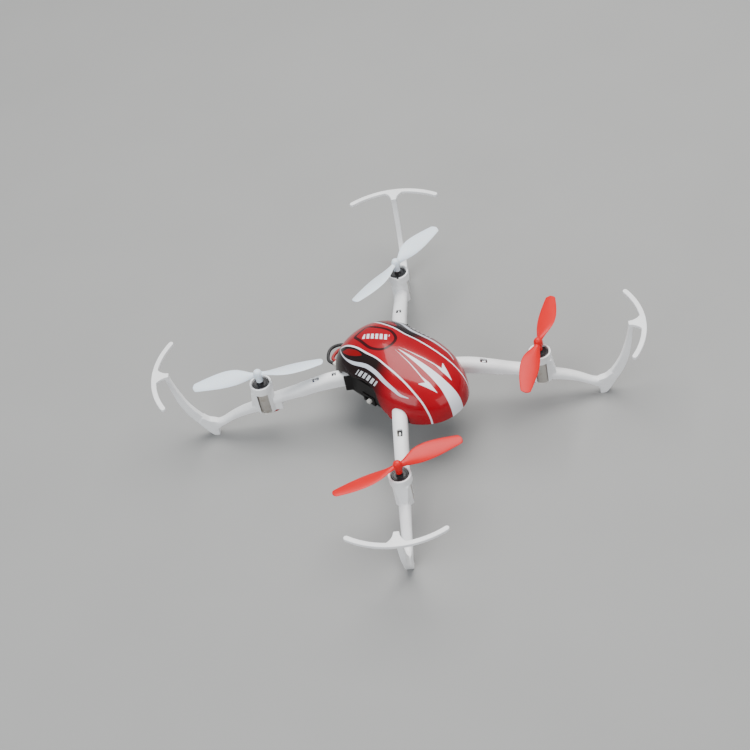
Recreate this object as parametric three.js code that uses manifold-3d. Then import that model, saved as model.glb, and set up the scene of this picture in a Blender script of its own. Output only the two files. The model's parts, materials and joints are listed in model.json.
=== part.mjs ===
// A palm-sized four-rotor drone: moulded arms with motor pods, feet and bumpers, a dome canopy over a
// lower shell, and the battery, board, switch, motors and wiring that it holds.
// Millimetres, +Z up, nose towards -Y. The origin is on the ground, under the middle of the body.
import * as THREE from "three";
import { LoftGeometry } from "three/addons/geometries/LoftGeometry.js";
import { mergeVertices } from "three/addons/utils/BufferGeometryUtils.js";
import Module from "manifold-3d";

const wasm = await Module();
wasm.setup();

// ---------------------------------------------------------------- driving dimensions

const GAP = 0.3; // between pieces that touch
const HALF_TURN = Math.PI;

// The four arms stand at 45 degrees. Opposite rotors share a spin and a pair of wire colours.
const ARMS = [
  { name: "rear_right", angle: 135, spin: -1, rest: 142.2, blades: "white", wires: ["red", "blue"] },
  { name: "rear_left", angle: 45, spin: 1, rest: 184.4, blades: "white", wires: ["black", "white"] },
  { name: "front_left", angle: -45, spin: -1, rest: 209.8, blades: "red", wires: ["red", "blue"] },
  { name: "front_right", angle: -135, spin: 1, rest: 158.9, blades: "red", wires: ["black", "white"] },
];

// Motor, 7 x 16 coreless, on its radius from the middle of the body
const MOTOR_AT = 58;
const CAN_RADIUS = 3.5;
const CAN_BOTTOM = 11.9;
const CAN_TOP = 26.7;
const BEARING_TOP = 27.3;
const CAP_BOTTOM = 10.8;
const SHAFT_RADIUS = 0.5;
const SHAFT_BORE = 0.6;
const SHAFT_BOTTOM = 20.3;
const SHAFT_TOP = 32.7;

// Propeller, 55 mm across
const BLADE_RADIUS = 27.5;
const BLADE_HEIGHT = 31.9;
const HUB_BOTTOM = 28.2;
const HUB_TOP = 34.6;

// Arm moulding, in its own frame: X outwards, Y across, Z up. Stations are [out, top, bottom, width].
const INNER_ARM = [
  [20.5, 28.1, 22.7, 6.2],
  [26, 27.6, 22.1, 6.1],
  [30, 27.0, 21.5, 6.0],
  [35, 25.6, 20.6, 5.9],
  [41, 23.6, 19.0, 5.8],
  [47, 21.4, 17.8, 5.7],
  [54, 19.2, 16.2, 5.6],
];
const OUTER_ARM = [
  [61.8, 16.2, 12.2, 4.8],
  [66, 15.0, 11.4, 4.7],
  [70, 13.4, 10.2, 4.5],
  [74, 11.2, 8.4, 4.3],
  [78.4, 8.6, 5.7, 4.0],
  [81.4, 8.0, 3.2, 3.6],
];
const ARM_WALL = 0.9;
const CHANNEL_END = 52.8;
const SLOTS = [
  { at: 35, long: 2.8, wide: 2.2 },
  { at: 27, long: 1.8, wide: 1.8 },
];
const TWO_SLOTS_ON = "rear_right";
const TAB = { from: 14, to: 24, bottom: 21.9, top: 24.2 };
const ARM_SCREW_AT = 17.5;

// Motor pod
const POD_BOTTOM = 12.2;
const POD_TOP = 27.2;
const RING_BOTTOM = 23.3;
const RING_RADIUS = 4.65;
const RIB_RADIUS = 4.35;
const POD_BORE = 3.8;
const WINDOW_WIDTH = 4.7;
const POD_SIDES = 20;
const WIRE_GUIDE = { out: [51.0, 54.6], across: [-2.1, 2.1] };

// Foot, fin and bumper
const FOOT_FROM = 81;
const FOOT_TO = 83.5;
const FOOT_WIDTH = 3.2;
const FIN_WIDTH = 2.2;
const BUMPER = { centre: 66.2, radius: 35.6, inner: 33.5, reach: 19.3, top: 37.6, thick: 1.4 };

// Canopy: a dome over a rounded plan that is widest at BROADEST
const CANOPY = {
  halfWidth: 21.4,
  waist: 0.08,
  waistReach: 6,
  nose: 37.0,
  tail: 25.6,
  broadest: 3.9,
  rim: 21.3,
  crown: 39.6,
  plan: 2.2,
  noseFall: 2.5,
  tailFall: 1.9,
  rise: 2.5,
  wall: 1.0,
};

// The canopy's edge along its side, as [length, height]: above it the canopy, below it the shell's side
const SIDE_EDGE = [
  [-12.6, 23.0],
  [-10.4, 24.2],
  [-8.6, 26.6],
  [-7.2, 29.4],
  [-5.8, 31.2],
  [-2.4, 32.3],
  [2.4, 32.2],
  [8, 31.4],
  [14.4, 30.6],
  [17, 29.2],
];

// Lower shell. Its rings are [height, inset, bow]: bow moves the nose back, as in a boat's hull
const SHELL = {
  halfWidth: 15,
  tail: 24.6,
  nose: -30,
  floor: 13.3,
  top: 24.6,
  wall: 1.2,
  flangeTop: CANOPY.rim - GAP,
  flange: 1.2,
  flangeEnd: -12.8,
};
const HULL = [
  [12.5, 2.9, 1],
  [13.1, 2.3, 0.9],
  [17.6, 0, 0.35],
  [20.2, 0, 0],
  [SHELL.top, 0, 0],
];
const BAY = [
  [SHELL.floor, 3.5, 0.9],
  [17.6, SHELL.wall, 0.35],
  [20.2, SHELL.wall, 0],
  [SHELL.top + 1, SHELL.wall, 0],
];
// Between the arms the sides flare out and stand higher: [across, height], then from and to in length
const SIDE_WALL = [
  [14.2, 17.8],
  [14.9, 18.0],
  [16.9, 21.6],
  [16.9, 30.4],
  [15.8, 30.4],
  [15.8, 22.4],
  [13.9, 20.4],
];
const SIDE_WALL_RUN = [-7.6, 11.2];
const CHEEK = { from: 19.4, to: 22.6, bottom: 21.4, top: 29.4, thick: 0.9 };
const CANOPY_SCREWS = [
  { name: "nose", x: 0, y: -19.6 },
  { name: "left", x: 8.7, y: -7.6 },
  { name: "right", x: -8.7, y: -7.6 },
];
const BOARD_SCREWS = [
  { name: "left", x: 7.2, y: 2 },
  { name: "right", x: -7.2, y: 2 },
];

// Battery and its connector
const BATTERY = { x: [-3.9, 9.5], y: [-5.5, 28.3], z: [13.6, 20.2] };
const SOCKET = { x: [-10.6, -5.0], y: [18.5, 27.2], z: [13.6, 18.8] };
const PLUG = { x: [-9.4, -6.2], y: [24, 32.4], z: [14.7, 17.7] };
const LEAD_RADIUS = 0.7;

// Board and slide switch
const BOARD = { x: [-9.3, 9.3], y: [-17, 17], z: [26.4, 27.4], neck: 6.5, neckEnd: -5.4 };
const SWITCH = { x: [-17.3, -13.9], y: [-2.0, 4.6], z: [19.4, 23.8] };
const KNOB = { x: [-18.6, -16.0], y: [-0.3, 1.3], z: [20.9, 22.3] };
const KNOB_TRAVEL = 2;
const MOTOR_WIRE_RADIUS = 0.35;

// ---------------------------------------------------------------- materials

const paint = (color, roughness, metalness = 0) =>
  new THREE.MeshStandardMaterial({ color, roughness, metalness });
const MATERIALS = {
  whitePlastic: paint(0xe9eaec, 0.42),
  redGloss: paint(0xc4040c, 0.12),
  blackPlastic: paint(0x16120f, 0.5),
  white: paint(0xdfe9f5, 0.35),
  red: paint(0xf23a34, 0.35),
  black: paint(0x101010, 0.45),
  blue: paint(0x1c3fa8, 0.45),
  steel: paint(0xb9b4ad, 0.28, 1),
  silverFoil: paint(0xc2c6cc, 0.35, 0.6),
  board: paint(0x0f4a2a, 0.5),
  chip: paint(0x1a1a1c, 0.4),
  lamp: paint(0xf4efd8, 0.2),
};

// ---------------------------------------------------------------- shape helpers

function solid(geometry) {
  const bare = new THREE.BufferGeometry().setIndex(geometry.index);
  bare.setAttribute("position", geometry.getAttribute("position"));
  const merged = mergeVertices(bare, 1e-4);
  return new wasm.Manifold(
    new wasm.Mesh({
      numProp: 3,
      vertProperties: merged.attributes.position.array,
      triVerts: new Uint32Array(merged.index.array),
    }),
  );
}

function join(first, ...others) {
  return others.reduce((whole, piece) => whole.add(piece), first);
}

function cut(first, ...tools) {
  return tools.reduce((whole, tool) => whole.subtract(tool), first);
}

function box(x, y, z) {
  const size = [x, y, z].map(([low, high]) => high - low);
  const middle = [x, y, z].map(([low, high]) => (low + high) / 2);
  return solid(new THREE.BoxGeometry(...size).translate(...middle));
}

// An upright cylinder
function rod(radius, low, high, x = 0, y = 0, sides = 20) {
  const shape = new THREE.CylinderGeometry(radius, radius, high - low, sides);
  return solid(shape.rotateX(HALF_TURN / 2).translate(x, y, (low + high) / 2));
}

// A solid of revolution about an upright axis; the profile is [radius, height]
function turned(profile, sides = 14) {
  const points = profile.map(([radius, height]) => new THREE.Vector2(radius, height));
  return solid(new THREE.LatheGeometry(points, sides).rotateX(HALF_TURN / 2));
}

// A side outline of [out, up] points, extruded across and centred on the arm's mid-plane
function sidePlate(outline, width) {
  const shape = new THREE.Shape(outline.map(([out, up]) => new THREE.Vector2(out, up)));
  const plate = new THREE.ExtrudeGeometry(shape, { depth: width, bevelEnabled: false });
  return solid(plate.rotateX(HALF_TURN / 2).translate(0, width / 2, 0));
}

function upright(shape, low, high, curveSegments = 12) {
  const depth = high - low;
  const plate = new THREE.ExtrudeGeometry(shape, { depth, bevelEnabled: false, curveSegments });
  return solid(plate.translate(0, 0, low));
}

// An outline of [length, height] points, standing on edge along the body and extruded across it
function sidewaysPlate(outline, from, to) {
  const shape = new THREE.Shape(outline.map(([length, height]) => new THREE.Vector2(length, height)));
  const plate = new THREE.ExtrudeGeometry(shape, { depth: to - from, bevelEnabled: false });
  const axes = [
    [0, 1, 0],
    [0, 0, 1],
    [1, 0, 0],
  ].map((axis) => new THREE.Vector3(...axis));
  return solid(plate.applyMatrix4(new THREE.Matrix4().makeBasis(...axes)).translate(from, 0, 0));
}

function loft(sections) {
  return solid(new LoftGeometry(sections, { capStart: true, capEnd: true }));
}

function wire(points, radius, steps) {
  const path = new THREE.CatmullRomCurve3(points.map((p) => new THREE.Vector3(...p)));
  const circle = new THREE.Shape().absarc(0, 0, radius, 0, 2 * HALF_TURN);
  return solid(
    new THREE.ExtrudeGeometry(circle, { extrudePath: path, steps, curveSegments: 4, bevelEnabled: false }),
  );
}

// A pan-head screw standing on its point or hanging from its head, with a slot across the head
function screw(headRadius, headLow, headHigh, shankRadius, shankEnd) {
  const up = shankEnd > headHigh;
  const head = rod(headRadius, headLow, headHigh, 0, 0, 14);
  const shank = rod(shankRadius, up ? headHigh - 0.1 : shankEnd, up ? shankEnd : headLow + 0.1, 0, 0, 10);
  const face = up ? headLow : headHigh;
  const slot = box([-0.2, 0.2], [-headRadius * 0.7, headRadius * 0.7], [face - 0.4, face + 0.4]);
  return cut(join(head, shank), slot);
}

function mesh(name, manifold, material) {
  const { vertProperties, triVerts } = manifold.getMesh();
  const geometry = new THREE.BufferGeometry();
  geometry.setAttribute("position", new THREE.BufferAttribute(vertProperties, 3));
  geometry.setIndex(new THREE.BufferAttribute(triVerts, 1));
  geometry.computeVertexNormals();
  const made = new THREE.Mesh(geometry, material);
  made.name = name;
  return made;
}

// ---------------------------------------------------------------- arm

// One section of an arm: flat underneath, round on top
function armSection([out, top, bottom, width], grow = 0) {
  const half = width / 2 + grow;
  const high = top + grow;
  const low = bottom - grow;
  const corner = Math.min(half * 0.85, (high - low) * 0.6);
  const points = [new THREE.Vector3(out, -half, low), new THREE.Vector3(out, half, low)];
  for (const side of [1, -1]) {
    for (let step = 0; step <= 3; step++) {
      const turn = (HALF_TURN / 6) * (side > 0 ? step : 3 - step);
      const y = side * (half - corner + corner * Math.cos(turn));
      points.push(new THREE.Vector3(out, y, high - corner + corner * Math.sin(turn)));
    }
  }
  return points;
}

function wireChannel() {
  const inside = INNER_ARM.filter(([out]) => out < CHANNEL_END);
  const stations = [[INNER_ARM[0][0] - 1, ...INNER_ARM[0].slice(1)], ...inside.slice(1)];
  stations.push([CHANNEL_END, 19.6, 16.4, 4.4]);
  const sections = stations.map(([out, top, bottom, width]) =>
    armSection([out, top - ARM_WALL, bottom - 1, width - 2 * ARM_WALL]),
  );
  return loft(sections);
}

function motorPod() {
  const ring = rod(RING_RADIUS, RING_BOTTOM, POD_TOP, MOTOR_AT, 0, POD_SIDES);
  const ribs = rod(RIB_RADIUS, POD_BOTTOM, RING_BOTTOM + 0.5, MOTOR_AT, 0, POD_SIDES);
  const guide = box(WIRE_GUIDE.out, WIRE_GUIDE.across, [POD_BOTTOM, 17.5]);
  // The outer rib narrows downwards into the outer arm
  const funnel = [
    [POD_BOTTOM, 61, 64.4, 4.8],
    [17, 60.6, 63.6, 5.6],
    [RING_BOTTOM + 0.5, 60, 62.5, 7.6],
  ].map(([z, from, to, width]) => [
    new THREE.Vector3(from, -width / 2, z),
    new THREE.Vector3(to, -width / 2 + 1, z),
    new THREE.Vector3(to, width / 2 - 1, z),
    new THREE.Vector3(from, width / 2, z),
  ]);
  return join(ring, ribs, guide, loft(funnel));
}

function podOpenings() {
  const bore = rod(POD_BORE, POD_BOTTOM - 1, POD_TOP + 1, MOTOR_AT, 0, POD_SIDES);
  const half = WINDOW_WIDTH / 2;
  const window = box([MOTOR_AT - half, MOTOR_AT + half], [-6, 6], [POD_BOTTOM - 1, RING_BOTTOM]);
  const rimNotch = box([MOTOR_AT - 5, MOTOR_AT - 3], [-0.5, 0.5], [POD_TOP - 0.7, POD_TOP + 1]);
  const wireSlot = box([50.2, 53.7], [-1.25, 1.25], [POD_BOTTOM - 1, 19]);
  return [bore, window, rimNotch, wireSlot];
}

function footAndFin() {
  const foot = sidePlate(
    [
      [FOOT_FROM, 0],
      [FOOT_TO, 0],
      [85.6, 2.9],
      [88.4, 8],
      [86.4, 11.6],
      [84, 9],
      [80.4, 7.8],
      [80.4, 3.6],
      [FOOT_FROM, 3.2],
    ],
    FOOT_WIDTH,
  );
  const fin = sidePlate(
    [
      [85.2, 2.6],
      [88.8, 8],
      [91.7, 13.4],
      [94, 20],
      [95.1, 26],
      [95.8, 31],
      [96.4, BUMPER.top - 0.2],
      [94.7, BUMPER.top - 0.2],
      [94.4, 34.5],
      [93.3, 29],
      [91.3, 22],
      [89.3, 17],
      [86.2, 11.8],
      [83.5, 8.6],
      [83.5, 3],
    ],
    FIN_WIDTH,
  );
  return join(foot, fin);
}

// The bumper is an arc in plan, with a gusset that spreads from the fin's top
function bumper() {
  const { centre, radius, inner, reach, top, thick } = BUMPER;
  const sweep = Math.asin(reach / radius);
  const arc = new THREE.Shape();
  arc.absarc(centre, 0, radius, -sweep, sweep, false);
  arc.absarc(centre, 0, inner, sweep, -sweep, true);
  const gusset = new THREE.Shape();
  gusset.moveTo(94.6, -FIN_WIDTH / 2);
  gusset.quadraticCurveTo(98.4, -FIN_WIDTH / 2, centre + inner + 0.6, -4.6);
  gusset.lineTo(centre + inner + 0.6, 4.6);
  gusset.quadraticCurveTo(98.4, FIN_WIDTH / 2, 94.6, FIN_WIDTH / 2);
  const middle = (radius + inner) / 2;
  const ends = [-sweep, sweep].map((turn) => {
    const x = centre + middle * Math.cos(turn);
    return rod((radius - inner) / 2, top - thick, top, x, middle * Math.sin(turn), 12);
  });
  return join(upright(arc, top - thick, top, 6), upright(gusset, top - thick, top, 4), ...ends);
}

function slotsOf(name) {
  return name === TWO_SLOTS_ON ? SLOTS : SLOTS.slice(0, 1);
}

function arm(name) {
  const inner = loft(INNER_ARM.map((station) => armSection(station)));
  const outer = loft(OUTER_ARM.map((station) => armSection(station)));
  const tab = box([TAB.from, TAB.to], [-3, 3], [TAB.bottom, TAB.top]);
  const slots = slotsOf(name).map(({ at, long, wide }) =>
    box([at - long / 2, at + long / 2], [-wide / 2, wide / 2], [22.5, 29]),
  );
  const hollow = cut(inner, wireChannel(), ...slots);
  const tabHole = rod(0.9, TAB.bottom - 1, TAB.top + 1, ARM_SCREW_AT, 0, 12);
  const whole = join(hollow, cut(tab, tabHole), motorPod(), outer, footAndFin(), bumper());
  return cut(whole, ...podOpenings());
}

// A strip that snaps into the channel's mouth, with a hook that shows in each slot
function armCover(name) {
  const underside = [
    [TAB.to + GAP, 22.5],
    [30, 21.6],
    [35, 20.7],
    [41, 19.1],
    [46, 18.1],
  ];
  const topside = underside.map(([out, up]) => [out, up + 1]).reverse();
  const strip = sidePlate([...underside, ...topside], 3.4);
  const hooks = slotsOf(name).map(({ at, long }) => {
    const roof = at > 30 ? 25.0 : 26.8;
    return box([at - long / 2 + 0.6, at + long / 2 - 0.6], [-0.35, 0.35], [21.4, roof]);
  });
  return join(strip, ...hooks);
}

// ---------------------------------------------------------------- motor and propeller

function motorCan() {
  return turned([
    [0, CAN_BOTTOM],
    [CAN_RADIUS - 0.2, CAN_BOTTOM],
    [CAN_RADIUS, CAN_BOTTOM + 0.2],
    [CAN_RADIUS, CAN_TOP - 0.3],
    [CAN_RADIUS - 0.3, CAN_TOP],
    [1.3, CAN_TOP],
    [1.3, BEARING_TOP],
    [SHAFT_BORE, BEARING_TOP],
    [SHAFT_BORE, SHAFT_BOTTOM - GAP],
    [0, SHAFT_BOTTOM - GAP],
  ]);
}

function motorEndCap() {
  return turned([
    [0, CAP_BOTTOM],
    [CAN_RADIUS - 0.6, CAP_BOTTOM],
    [CAN_RADIUS - 0.2, CAP_BOTTOM + 0.4],
    [CAN_RADIUS - 0.2, CAN_BOTTOM - GAP],
    [0, CAN_BOTTOM - GAP],
  ]);
}

function hub() {
  return turned([
    [0, SHAFT_TOP + GAP],
    [SHAFT_RADIUS + GAP, SHAFT_TOP + GAP],
    [SHAFT_RADIUS + GAP, HUB_BOTTOM],
    [1.4, HUB_BOTTOM],
    [1.4, 30.8],
    [1.9, 31.1],
    [1.9, 32.8],
    [1.5, 33.9],
    [0.8, 34.45],
    [0, HUB_TOP],
  ]);
}

// Stations along the blade: [radius, chord, pitch in degrees, thickness, lead]; lead moves the chord
// towards the leading edge
const BLADE = [
  [1.2, 2.2, 16, 1.5, 0],
  [5.5, 5.2, 20, 1.1, 0.5],
  [9, 7.8, 18, 1.0, 0.8],
  [13, 8.7, 15, 0.9, 0.8],
  [17, 8.2, 13, 0.8, 0.6],
  [21, 6.8, 11, 0.7, 0.3],
  [25, 4.7, 10, 0.6, -0.1],
  [BLADE_RADIUS, 2.0, 10, 0.5, -0.3],
];

function blade(spin) {
  const sections = BLADE.map(([radius, chord, pitch, thick, lead]) => {
    const turn = THREE.MathUtils.degToRad(pitch) * spin;
    const points = [];
    for (let step = 0; step < 8; step++) {
      const around = (step / 8) * 2 * HALF_TURN;
      const across = (chord / 2) * Math.cos(around) + lead * spin;
      const up = (thick / 2) * Math.sin(around);
      const y = across * Math.cos(turn) - up * Math.sin(turn);
      const z = across * Math.sin(turn) + up * Math.cos(turn);
      points.push(new THREE.Vector3(radius, y, BLADE_HEIGHT + z));
    }
    return points;
  });
  return loft(sections);
}

function propeller(spin) {
  const first = blade(spin);
  const bore = rod(SHAFT_RADIUS + GAP, HUB_BOTTOM - 1, SHAFT_TOP + GAP, 0, 0, 24);
  return cut(join(hub(), first, first.rotate([0, 0, 180])), bore);
}

// The wires leave the end cap, climb inside the guide and run inwards through the channel
function motorWire(side) {
  return wire(
    [
      [57.0, side * 0.75, CAP_BOTTOM - 0.35 - GAP],
      [55.2, side * 0.7, 10.2],
      [53.6, side * 0.65, 10.8],
      [52.7, side * 0.6, 12.6],
      [52.5, side * 0.6, 15.4],
      [51.2, side * 0.7, 17.8],
      [49.2, side * 0.9, 18.7],
      [46.6, side * 1.15, 19.7],
      [41.0, side * 1.2, 21.4],
      [35.0, side * 1.2, 23.2],
      [30.0, side * 1.2, 24.3],
      [25.0, side * 1.2, 25.4],
      [20.5, side * 1.2, 26.2],
      [15.8, side * 1.2, 26.6],
    ],
    MOTOR_WIRE_RADIUS,
    17,
  );
}

function motorGroup({ spin, rest, blades, name }) {
  const axis = new THREE.Group();
  axis.position.x = MOTOR_AT;
  axis.add(mesh("motor_can_" + name, motorCan(), MATERIALS.steel));
  axis.add(mesh("motor_end_cap_" + name, motorEndCap(), MATERIALS.whitePlastic));
  axis.add(mesh("motor_shaft_" + name, rod(SHAFT_RADIUS, SHAFT_BOTTOM, SHAFT_TOP, 0, 0, 16), MATERIALS.steel));
  const rotor = mesh("propeller_" + name, propeller(spin), MATERIALS[blades]);
  rotor.rotation.z = THREE.MathUtils.degToRad(rest);
  axis.add(rotor);
  return axis;
}

function armAssembly(side) {
  const group = new THREE.Group();
  group.rotation.z = THREE.MathUtils.degToRad(side.angle);
  group.add(mesh("arm_" + side.name, arm(side.name), MATERIALS.whitePlastic));
  group.add(mesh("arm_cover_" + side.name, armCover(side.name), MATERIALS.whitePlastic));
  side.wires.forEach((colour, index) => {
    const name = "motor_wire_" + colour + "_" + side.name;
    group.add(mesh(name, motorWire(index ? -1 : 1), MATERIALS[colour]));
  });
  const fixing = mesh("arm_screw_" + side.name, screw(1.4, 24.5, 25.5, 0.55, 18.2), MATERIALS.steel);
  fixing.position.x = ARM_SCREW_AT;
  group.add(fixing);
  const motor = motorGroup(side);
  motor.children.at(-1).rotation.z -= group.rotation.z;
  group.add(motor);
  return group;
}

// ---------------------------------------------------------------- canopy

// The plan's radius in one direction, from the point where the canopy is broadest
function planRadius(turn, inset) {
  const across = Math.abs(Math.cos(turn));
  const along = Math.abs(Math.sin(turn));
  const length = Math.sin(turn) < 0 ? CANOPY.nose : CANOPY.tail;
  const sum = (across / CANOPY.halfWidth) ** CANOPY.plan + (along / length) ** CANOPY.plan;
  return sum ** (-1 / CANOPY.plan) * (1 - CANOPY.waist * across ** CANOPY.waistReach) - inset;
}

function canopyRing(scaleAt, height, inset, sides = 28) {
  const ring = [];
  for (let step = 0; step < sides; step++) {
    const turn = (step / sides) * 2 * HALF_TURN;
    const radius = planRadius(turn, inset) * scaleAt(turn);
    ring.push(
      new THREE.Vector3(radius * Math.cos(turn), CANOPY.broadest + radius * Math.sin(turn), height),
    );
  }
  return ring;
}

// Rings from the rim to the crown: the plan shrinks as a superellipse, faster or slower by direction
function dome(inset, skirt) {
  const rings = [canopyRing(() => 1, CANOPY.rim - skirt, inset)];
  for (const degrees of [80, 68, 56, 44, 32, 20, 8]) {
    const climb = THREE.MathUtils.degToRad(degrees);
    const height = CANOPY.crown - inset - CANOPY.rim;
    const scaleAt = (turn) => {
      const rearward = (1 + Math.sin(turn)) / 2;
      const fall = CANOPY.noseFall + (CANOPY.tailFall - CANOPY.noseFall) * rearward;
      return Math.sin(climb) ** (2 / fall);
    };
    rings.push(canopyRing(scaleAt, CANOPY.rim + height * Math.cos(climb) ** (2 / CANOPY.rise), inset));
  }
  return loft(rings);
}

function armTunnel(angle, bottom) {
  const sections = INNER_ARM.slice(0, 4).map(([out, top, , width]) =>
    armSection([out === INNER_ARM[0][0] ? 12 : out, top, bottom, width], 0.4),
  );
  return loft(sections).rotate([0, 0, angle]);
}

function canopy() {
  const outer = dome(0, 0);
  const shell = cut(outer, dome(CANOPY.wall, 2));
  const posts = CANOPY_SCREWS.map(({ x, y }) =>
    cut(rod(1.8, SHELL.top + GAP, 39, x, y, 16), rod(0.9, 20, 30, x, y, 10)).intersect(outer),
  );
  const arches = ARMS.map(({ angle }) => armTunnel(angle, CANOPY.rim - 2));
  const sides = [-1, 1].map((side) => sideWindow(side));
  return join(cut(shell, ...arches, ...sides), ...posts);
}

// What is taken off the canopy below its side edge
function sideWindow(side) {
  const foot = CANOPY.rim - 2;
  const outline = [[SIDE_EDGE[0][0], foot], ...SIDE_EDGE, [SIDE_EDGE.at(-1)[0], foot]];
  const [near, far] = [11, 27];
  return side > 0 ? sidewaysPlate(outline, near, far) : sidewaysPlate(outline, -far, -near);
}

// ---------------------------------------------------------------- lower shell

function shellPlan(inset, bow) {
  const { halfWidth, tail, nose } = SHELL;
  const wide = halfWidth - inset;
  const back = tail - inset;
  const front = nose + inset + 3.5 * bow;
  const bulge = 8 - 1.5 * bow;
  const quarter = -24 + 6 * bow;
  const beam = -13 + 6 * bow;
  const plan = new THREE.Shape();
  plan.moveTo(0, front);
  plan.bezierCurveTo(bulge, front, wide, quarter, wide, beam);
  plan.lineTo(wide, 15);
  plan.bezierCurveTo(wide, 21, 12 - inset, back, 7.5, back);
  plan.lineTo(-7.5, back);
  plan.bezierCurveTo(inset - 12, back, -wide, 21, -wide, 15);
  plan.lineTo(-wide, beam);
  plan.bezierCurveTo(-wide, quarter, -bulge, front, 0, front);
  return plan;
}

function shellRing([height, inset, bow]) {
  const points = shellPlan(inset, bow).getPoints(7);
  if (points[0].distanceTo(points.at(-1)) < 1e-6) points.pop();
  return points.map(({ x, y }) => new THREE.Vector3(x, y, height));
}

// The high part of a side, and the cheek that follows the rear arm's flank out to it
function highSide(side) {
  const outline = SIDE_WALL.map(([across, height]) => [side * across, height]);
  const [from, to] = SIDE_WALL_RUN;
  const wall = sidePlate(outline, to - from).translate([0, (from + to) / 2, 0]);
  const flank = INNER_ARM[0][3] / 2 + 2 * GAP;
  const edges = [-flank - CHEEK.thick, -flank].map((y) => side * y);
  const cheek = box([CHEEK.from, CHEEK.to], edges.sort((a, b) => a - b), [CHEEK.bottom, CHEEK.top]);
  return join(wall, cheek.rotate([0, 0, side > 0 ? 45 : 135]));
}

// The flange that the front of the canopy stands on
function frontFlange() {
  const top = SHELL.flangeTop;
  const ring = (height) => canopyRing(() => 1, height, 0.5);
  const plate = loft([ring(top - SHELL.flange), ring(top)]);
  return plate.intersect(box([-30, 30], [-40, SHELL.flangeEnd], [0, 30]));
}

function lowerShell() {
  const { floor, top } = SHELL;
  const bottom = HULL[0][0];
  const tub = loft(HULL.map((ring) => shellRing(ring)));
  const hollow = loft(BAY.map((ring) => shellRing(ring)));
  const bridge = box([-14.2, 14.2], [-5, 8], [BATTERY.z[1] + 0.4, BATTERY.z[1] + 1.4]);
  const boardPosts = BOARD_SCREWS.map(({ x, y }) => rod(1.4, 21, BOARD.z[0] - GAP, x, y, 14));
  const armPosts = ARMS.map(({ angle }) =>
    rod(2, 17.4, TAB.bottom - GAP, ARM_SCREW_AT, 0, 16).rotate([0, 0, angle]),
  );
  const canopyPosts = CANOPY_SCREWS.map(({ x, y }) => rod(1.8, bottom + 0.2, top, x, y, 16));
  const whole = join(
    cut(join(tub, frontFlange()), hollow),
    highSide(1),
    highSide(-1),
    bridge,
    ...boardPosts,
    ...armPosts,
    ...canopyPosts,
  );
  const notches = ARMS.map(({ angle }) => armTunnel(angle, TAB.bottom));
  const armBores = ARMS.map(({ angle }) =>
    rod(0.85, 17.9, 23, ARM_SCREW_AT, 0, 10).rotate([0, 0, angle]),
  );
  const boardBores = BOARD_SCREWS.map(({ x, y }) => rod(0.8, 21.9, 27, x, y, 10));
  const canopyBores = CANOPY_SCREWS.flatMap(({ x, y }) => [
    rod(0.9, 10, 30, x, y, 10),
    rod(1.5, 10, bottom + 1.8, x, y, 14),
  ]);
  const tailMouth = box([SOCKET.x[0] - GAP, BATTERY.x[1] + GAP], [18, 30], [floor, 30]);
  const switchHole = box(
    [-20, SWITCH.x[1] + GAP],
    [SWITCH.y[0] - GAP, SWITCH.y[1] + GAP],
    [SWITCH.z[0] - GAP, SWITCH.z[1] + GAP],
  );
  return cut(whole, ...notches, ...armBores, ...boardBores, ...canopyBores, tailMouth, switchHole);
}

// ---------------------------------------------------------------- battery, board and switch

function battery() {
  const [low, high] = BATTERY.x;
  const [down, up] = BATTERY.z;
  const corner = 1.2;
  const face = new THREE.Shape();
  face.moveTo(low + corner, down);
  face.lineTo(high - corner, down);
  face.quadraticCurveTo(high, down, high, down + corner);
  face.lineTo(high, up - corner);
  face.quadraticCurveTo(high, up, high - corner, up);
  face.lineTo(low + corner, up);
  face.quadraticCurveTo(low, up, low, up - corner);
  face.lineTo(low, down + corner);
  face.quadraticCurveTo(low, down, low + corner, down);
  const depth = BATTERY.y[1] - BATTERY.y[0];
  const block = new THREE.ExtrudeGeometry(face, { depth, bevelEnabled: false, curveSegments: 3 });
  return solid(block.rotateX(HALF_TURN / 2).translate(0, BATTERY.y[1], 0));
}

function leadSocket() {
  const cavity = box([-9.7, -5.9], [23.6, SOCKET.y[1] + 1], [14.4, 18.0]);
  return cut(box(SOCKET.x, SOCKET.y, SOCKET.z), cavity);
}

// The leads bow out behind the tail, from the battery round to the plug
function batteryLead(start, bow, end) {
  const back = BATTERY.y[1] + GAP;
  const front = PLUG.y[1] + GAP;
  const height = 17.2;
  const plugHeight = (PLUG.z[0] + PLUG.z[1]) / 2;
  return wire(
    [
      [start, back, height],
      [start - 0.1, back + 0.5 * bow, height + 0.4],
      [(2 * start + end) / 3, back + 0.93 * bow, height + 0.3],
      [(start + 2 * end) / 3, back + bow, height - 0.1],
      [end + 0.1, front + 0.33 * bow, plugHeight + 0.3],
      [end, front, plugHeight],
    ],
    LEAD_RADIUS,
    18,
  );
}

function socketWire(x) {
  const back = SOCKET.y[0] - GAP;
  return wire(
    [
      [x, back, 16.2],
      [x, back - 1, 16.6],
      [x + 0.1, back - 1.7, 18.6],
      [x + 0.3, back - 1.8, 22.5],
      [x + 0.3, back - 1.8, BOARD.z[0] - GAP],
    ],
    0.5,
    10,
  );
}

// The board narrows in front, between the canopy's posts
function mainBoard() {
  const holes = BOARD_SCREWS.map(({ x, y }) => rod(0.9, 20, 30, x, y, 12));
  const corners = [-1, 1].map((side) => {
    const edges = [side * BOARD.neck, side * (BOARD.x[1] + 1)].sort((a, b) => a - b);
    return box(edges, [BOARD.y[0] - 1, BOARD.neckEnd], [20, 30]);
  });
  return cut(box(BOARD.x, BOARD.y, BOARD.z), ...holes, ...corners);
}

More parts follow.
